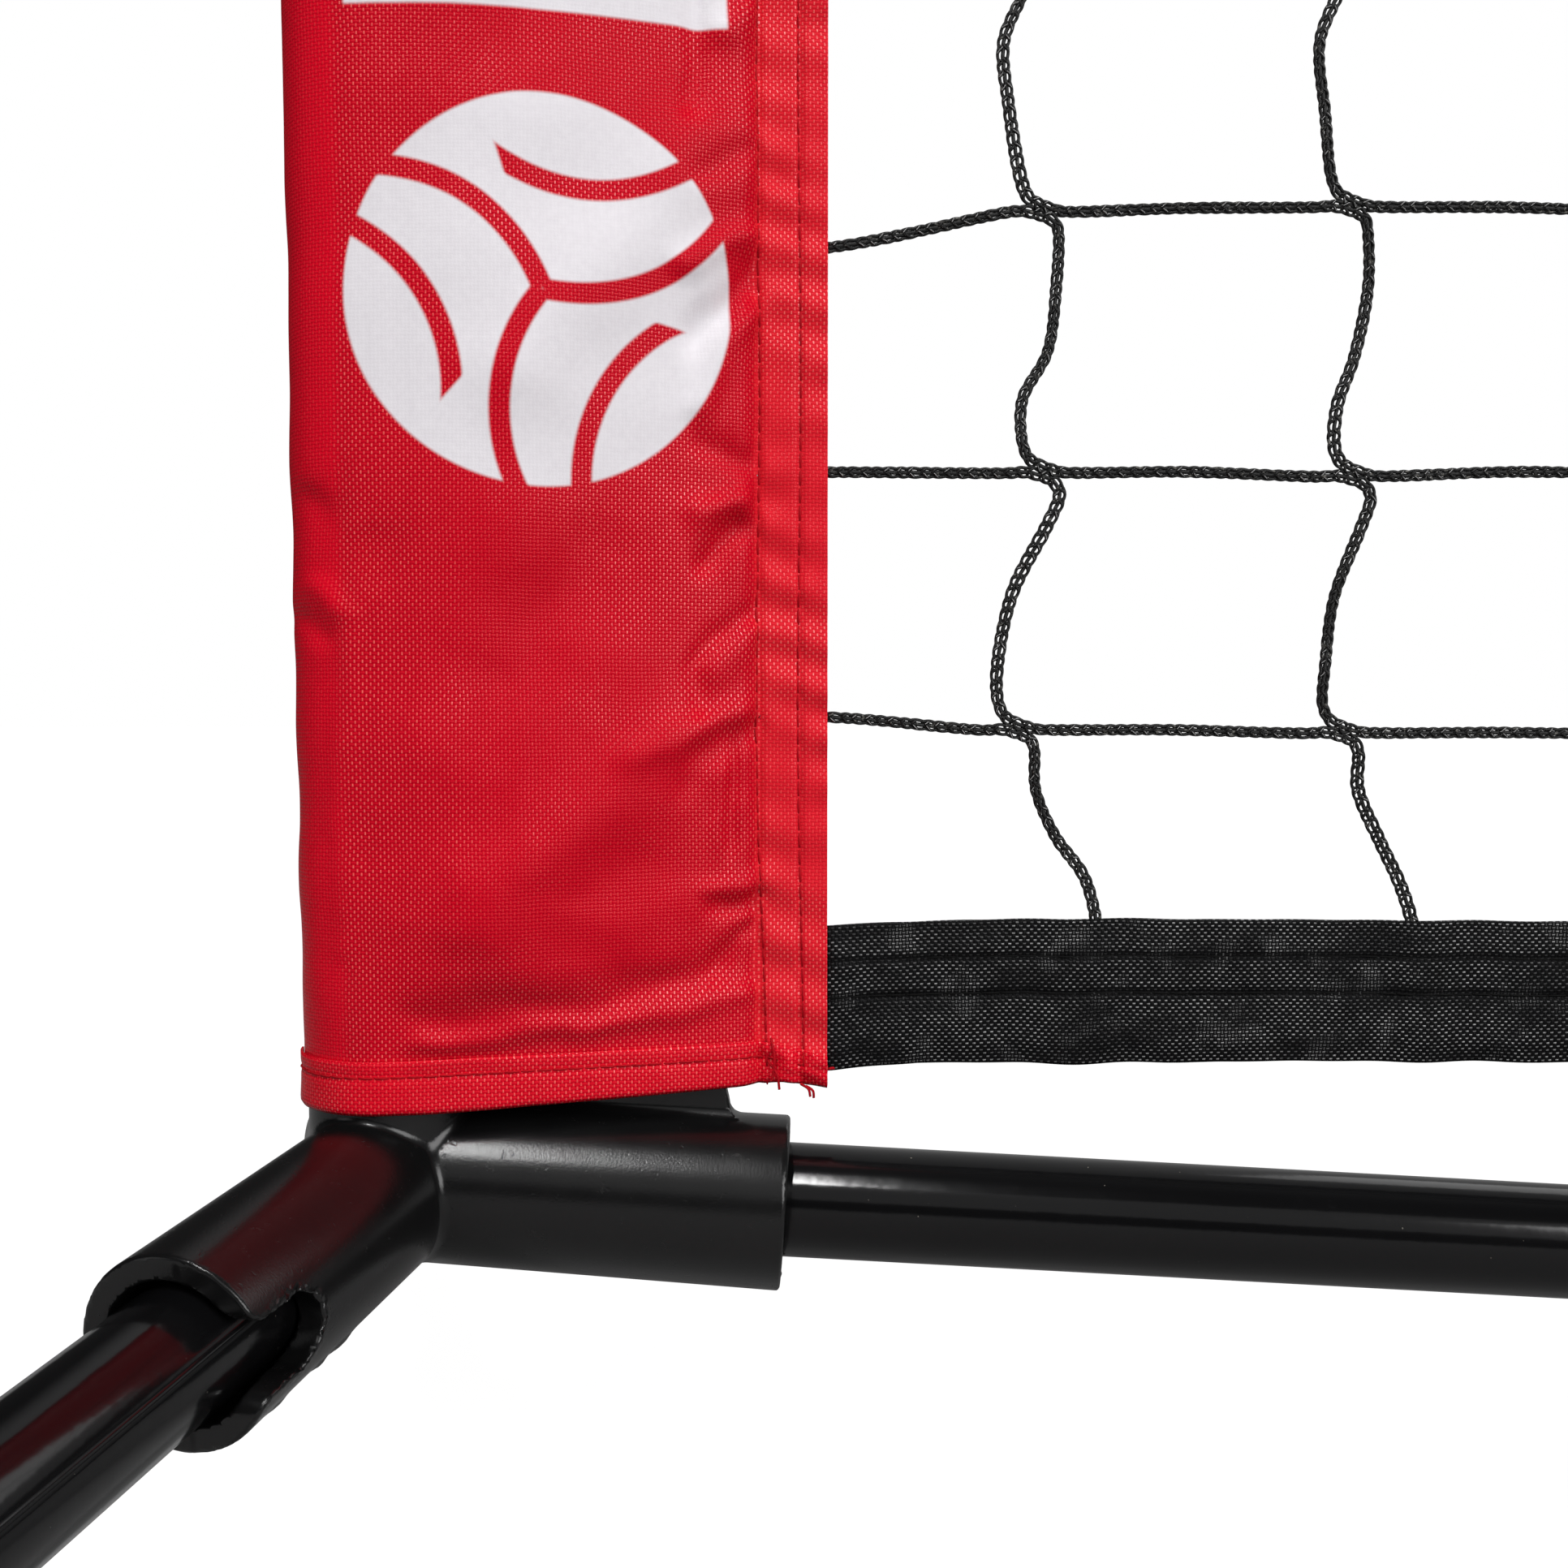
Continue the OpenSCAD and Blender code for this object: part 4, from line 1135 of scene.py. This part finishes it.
def net_cords(columns, rows, top):
    """The points (x, z) of each cord, which steps down and to the right through the net."""
    jitter = np.random.RandomState(11).uniform(-1, 1, (columns + 2, rows + 2, 4))

    def knot(j, i):
        if (j, i) in KNOTS_SEEN:
            return np.array(KNOTS_SEEN[j, i])
        even = np.array([BORDER_X + j * NET_COLUMN, NET_FIRST_ROW + i * NET_ROW])
        return even + jitter[j, i, :2] * (3.0, 0.6)

    def slack(j, i):
        """Points of the loose upright cord below knot (j, i)."""
        if (j, i) in SLACK_SEEN:
            return [np.array(p) for p in SLACK_SEEN[j, i]]
        start = knot(j, i) + KNOT_LEFT[-1]
        low = knot(j, i - 1) + KNOT_DOWN[0] if i > 0 else np.array([start[0] + 8, TAPE_TOP])
        bow = jitter[j, i, 2:] * 2.6
        return [start + (low - start) * 0.33 + (bow[0], 0), start + (low - start) * 0.68 + (bow[1], 0)]

    def walk(j, i, came_down):
        """One cord: it comes down to a knot, goes right to the next, and down again."""
        if came_down:
            x = BORDER_X + j * NET_COLUMN - 2
            points = [np.array([x, top + 5]), np.array([x, top - 3])]
            points += [(points[-1] + knot(j, i)) / 2 + (jitter[j, i, 2] * 2, 0)]
        else:
            level = LEVELS_SEEN.get(i, NET_FIRST_ROW + i * NET_ROW - 1)
            points = [np.array([BORDER_X, level]), np.array([SLEEVE_REACH, level + 0.4])]
        while True:
            here = knot(j, i)
            if came_down:
                points += [here + p for p in KNOT_DOWN]
                if j + 1 >= columns:
                    end = 2 * HALF_SPAN - BORDER_X
                    return points + [np.array([end - 18, here[1] - 0.5]), np.array([end, here[1]])]
                points += [(here + knot(j + 1, i)) / 2 + (0, -0.5 + 0.3 * jitter[j, i, 3])]
                j, came_down = j + 1, False
            else:
                points += [here + p for p in KNOT_LEFT] + slack(j, i)
                if i == 0:
                    end = np.array([points[-1][0] + 2.0, TAPE_TOP + 0.5])
                    return points + [end, end + np.array([1.0, -7.0])]
                i, came_down = i - 1, True

    starts = [(j, rows - 1, True) for j in range(1, columns)] + [(1, i, False) for i in range(rows)]
    return [np.array(walk(*start)) for start in starts]


def make_net(strand, cord, glint_paint):
    top = above_hub(upper_low.z)
    columns = int(round((2 * HALF_SPAN - 2 * BORDER_X) / NET_COLUMN))
    rows = int(round((top - NET_FIRST_ROW) / NET_ROW))
    close, glints, far = Pile(), Pile(), Pile()
    for number, flat in enumerate(net_cords(columns, rows, top)):
        cross = 0.25 * np.sin(flat[:, 0] / 9) + 0.25 * np.sin(flat[:, 1] / 7)
        line = curve_through(np.stack([flat[:, 0], cross, flat[:, 1]], 1), STITCH / 8)
        seen = (line[:, 0] < CHAIN_X) & (line[:, 2] < CHAIN_Z)
        edges = np.flatnonzero(np.diff(seen.astype(int))) + 1
        for part in np.split(np.arange(len(line)), edges):
            if len(part) < 3:
                continue
            path = line[part[0]:part[-1] + 2]
            if seen[part[0]]:
                chain(close, glints, path, number)
            else:
                far.add(*swept(path[::FAR_STEP] if len(path) > 60 else path, CORD_R, 5, 0.8))
    for x in (BORDER_X, 2 * HALF_SPAN - BORDER_X):
        border = [(x, 0, TAPE_TOP - 6), (x, 0, (top + NET_FIRST_ROW) / 2), (x, 0, top + 6)]
        far.add(*swept(curve_through(border, 12), CORD_R, 6))
    close.build("net_cords_near", strand, "net_unit", "net_cord", ["net_mesh"])
    # The thin pale lines are painted glints on the near cords.
    glints.build("net_cord_glint_lines", glint_paint, "net_unit", "net_cord")
    far.build("net_cords", cord, "net_unit", "net_cord", ["net_mesh"])


def looseness(path, length, ahead, number):
    """How open a cord's knitting is along its path, from 0 to 1: slack stretches and knots are looser."""
    knots = np.array([KNOTS_SEEN[key] for key in sorted(KNOTS_SEEN)]) + (1.5, -0.7)
    nearest = np.min(np.linalg.norm(path[:, None, ::2] - knots[None], axis=2), axis=1)
    knotted = np.exp(-(nearest / 3.0) ** 4)
    loose = 0.5 + 0.5 * np.sin(length / 17 + 2.4 * number)
    loose = loose * np.clip(np.abs(ahead[:, 2]) * 1.6 - 0.3, 0, 1) + 0.18 * np.sin(length / 3.1 + number)
    return np.clip(loose, 0, 1) * (1 - knotted) + 0.75 * knotted


def chain(pile, glints, path, number):
    """A knitted cord: a middle strand, a loop on each side of it at every stitch, and thin pale lines on some
    loops as painted glints.
    """
    length = lengths(path)
    ahead, side, up = directions(path)
    loose = looseness(path, length, ahead, number)
    turn = length / STITCH + 0.07 * np.sin(length * 1.3 + number) + 0.37 * number
    middle = path + (0.04 * np.sin(2 * math.pi * turn))[:, None] * side
    pile.add(*swept(middle, 0.40 - 0.05 * loose, 5))
    draw = np.random.RandomState(number)
    for way in (-1, 1):
        at = np.mod(turn + 0.08 * way, 1.0)
        rail = 0.54 + 0.24 * loose + 0.17 * np.abs(np.sin(math.pi * turn + 0.3 * way))
        pile.add(*swept(path + (way * rail)[:, None] * side + 0.08 * up, 0.31 - 0.03 * loose, 5))
        tie = np.interp(at, [0, 0.08, 0.45, 0.88, 1], [0.1, 0.1, 1.0, 1.0, 0.1])
        deep = np.interp(at, [0, 0.08, 0.3, 0.5, 0.85, 1], [0.15, -0.36, -0.34, -0.1, 0.2, 0.15])
        strand = path + (way * rail * tie)[:, None] * side + deep[:, None] * up
        pile.add(*swept(strand, 0.25, 4))
        # Painted glints: thin strands in a pale material, laid along the front of some loops.
        shown = draw.uniform(0, 1, int(turn.max()) + 2)[np.maximum(turn, 0).astype(int)] < 0.45
        shown = shown & (at > 0.06) & (at < 0.5)
        ends = np.flatnonzero(np.diff(np.concatenate([[0], shown.astype(int), [0]])))
        for first, last in zip(ends[::2], ends[1::2]):
            if last - first > 2:
                glint = strand[first:last] + 0.05 * way * side[first:last] - 0.24 * up[first:last]
                glints.add(*swept(glint, 0.065, 4))


# Studio


def make_lamp(name, place, aim, size, power, roll=0.0):
    data = bpy.data.lights.new(name, "AREA")
    data.shape = "RECTANGLE"
    data.size, data.size_y = size
    data.energy = power
    lamp = placed(name, data)
    lamp.location = place
    lamp.rotation_euler = (Vector(aim) - Vector(place)).to_track_quat("-Z", "Y").to_euler()
    lamp.rotation_euler.rotate_axis("Z", math.radians(roll))


def make_world():
    """A room that looks white to the camera, and darker and uneven to what it lights and is mirrored in."""
    world = bpy.data.worlds.new("studio")
    bpy.context.scene.world = world
    world.use_nodes = True
    w = Nodes(world.node_tree)
    rays = w.node("LightPath").outputs
    shown = w.math("MAXIMUM", rays["Is Camera Ray"], rays["Is Transmission Ray"])
    direction = w.node("SeparateXYZ", i0=w.node("TexCoord").outputs["Generated"]).outputs
    rear = w.smooth(direction[1], -0.4, 0.7, 0.03, 0.40)
    room = w.times(rear, w.smooth(direction[0], -0.35, 0.0, 0.06, 1.0))
    unseen = w.mix_values(rays["Is Glossy Ray"], 0.22, room)
    background = w.tree.nodes["Background"].inputs
    w.put(background["Strength"], w.mix_values(shown, unseen, 1.0))
    w.put(background["Color"], (1, 1, 1, 1))


def make_studio():
    bpy.context.scene.view_settings.view_transform = "Standard"
    make_lamp("key_softbox", (0.5, -2.1, 1.4), (-1.3, 0, 0.2), (2.0, 1.6), 58)
    make_lamp("front_softbox", (-1.2, -2.7, 1.8), (-1.2, 0, 0.2), (3.4, 1.8), 9)
    make_lamp("left_softbox", (-4.2, -1.5, 0.9), (-1.5, 0, 0.2), (1.2, 1.4), 4)
    make_lamp("strip_softbox", (-1.715, -0.83, 1.455), (-1.487, 0, 0.17), (0.08, 0.62), 11, 17.6)
    make_lamp("rear_softbox", (0.9, 1.7, 2.3), (0.4, 0, 0.2), (3.2, 1.2), 15)
    make_world()


def make_floor():
    """A pale floor that looks white, keeps a faint shadow near the net, and lights it only a little."""
    mesh = bpy.data.meshes.new("floor")
    reach, level = 14.0, -0.0006
    corners = [(x * reach, y * reach, level) for x, y in ((-1, -1), (1, -1), (1, 1), (-1, 1))]
    mesh.from_pydata(corners, [], [(0, 1, 2, 3)])
    floor = placed("floor", mesh)
    s = Shader("floor")
    rays = s.node("LightPath").outputs
    seen = s.math("MAXIMUM", rays["Is Camera Ray"], rays["Is Transmission Ray"])
    hidden = s.mix(rays["Is Glossy Ray"], (0.22, 0.22, 0.22, 1), (0.42, 0.42, 0.42, 1))
    s.finish(s.mix(seen, hidden, (0.8, 0.8, 0.8, 1)), 0.9, 0.1)
    depth = s.node("SeparateXYZ", i0=s.place()).outputs[1]
    glow = s.node("Emission", Strength=s.smooth(s.math("ABSOLUTE", depth), 0.6, 1.8, 1.18, 1.3))
    both = s.node("MixShader", i0=s.times(seen, 0.8), i1=s.surface.outputs[0], i2=glow.outputs[0])
    s.put(s.tree.nodes["Material Output"].inputs["Surface"], both.outputs[0])
    mesh.materials.append(s.material)


make_camera()
make_studio()
make_floor()

BLACK, PAINT, RUBBER, PALE = moulded_black(), painted_tube(), foot_rubber(), pale_bush()
CORD, STRAND, TAPE = net_cord(), net_strand(), black_tape()
RED = red_fabric("red_binding", colour(220, 10, 34), colour(230, 18, 42))
RED_PRINTED = red_fabric("red_fabric", colour(201, 5, 31), colour(215, 10, 37), printed=True)
# Painted glints: a pale grey material for the thin lines on the near cords.
GLINT_PAINT = thread("painted_cord_glint", colour(120, 120, 120), colour(190, 190, 190))
RED_THREAD = thread("red_thread", colour(158, 0, 18), colour(190, 6, 26))
BLACK_THREAD = thread("black_thread", colour(6, 6, 6), colour(16, 16, 16))

make_tubes(PAINT)
make_mouldings(BLACK, RUBBER)
make_sleeves(RED_PRINTED, RED, RED_THREAD)
make_tape("lower_tape", (tape_low, tape_high), lower_tape_edges, TAPE, BLACK_THREAD)
make_tape("upper_tape", (upper_low, upper_high), straight_edges, TAPE, BLACK_THREAD)
make_net(STRAND, CORD, GLINT_PAINT)

KEPT = {"guide_bush": PALE, "pole_cap": BLACK, "lock_ferrule": BLACK, "lock_collar": BLACK}
for node, material in KEPT.items():
    for side in ("left", "right"):
        kept = frame["nodes"][f"{node}_{side}"]
        kept.data.materials.clear()
        kept.data.materials.append(material)
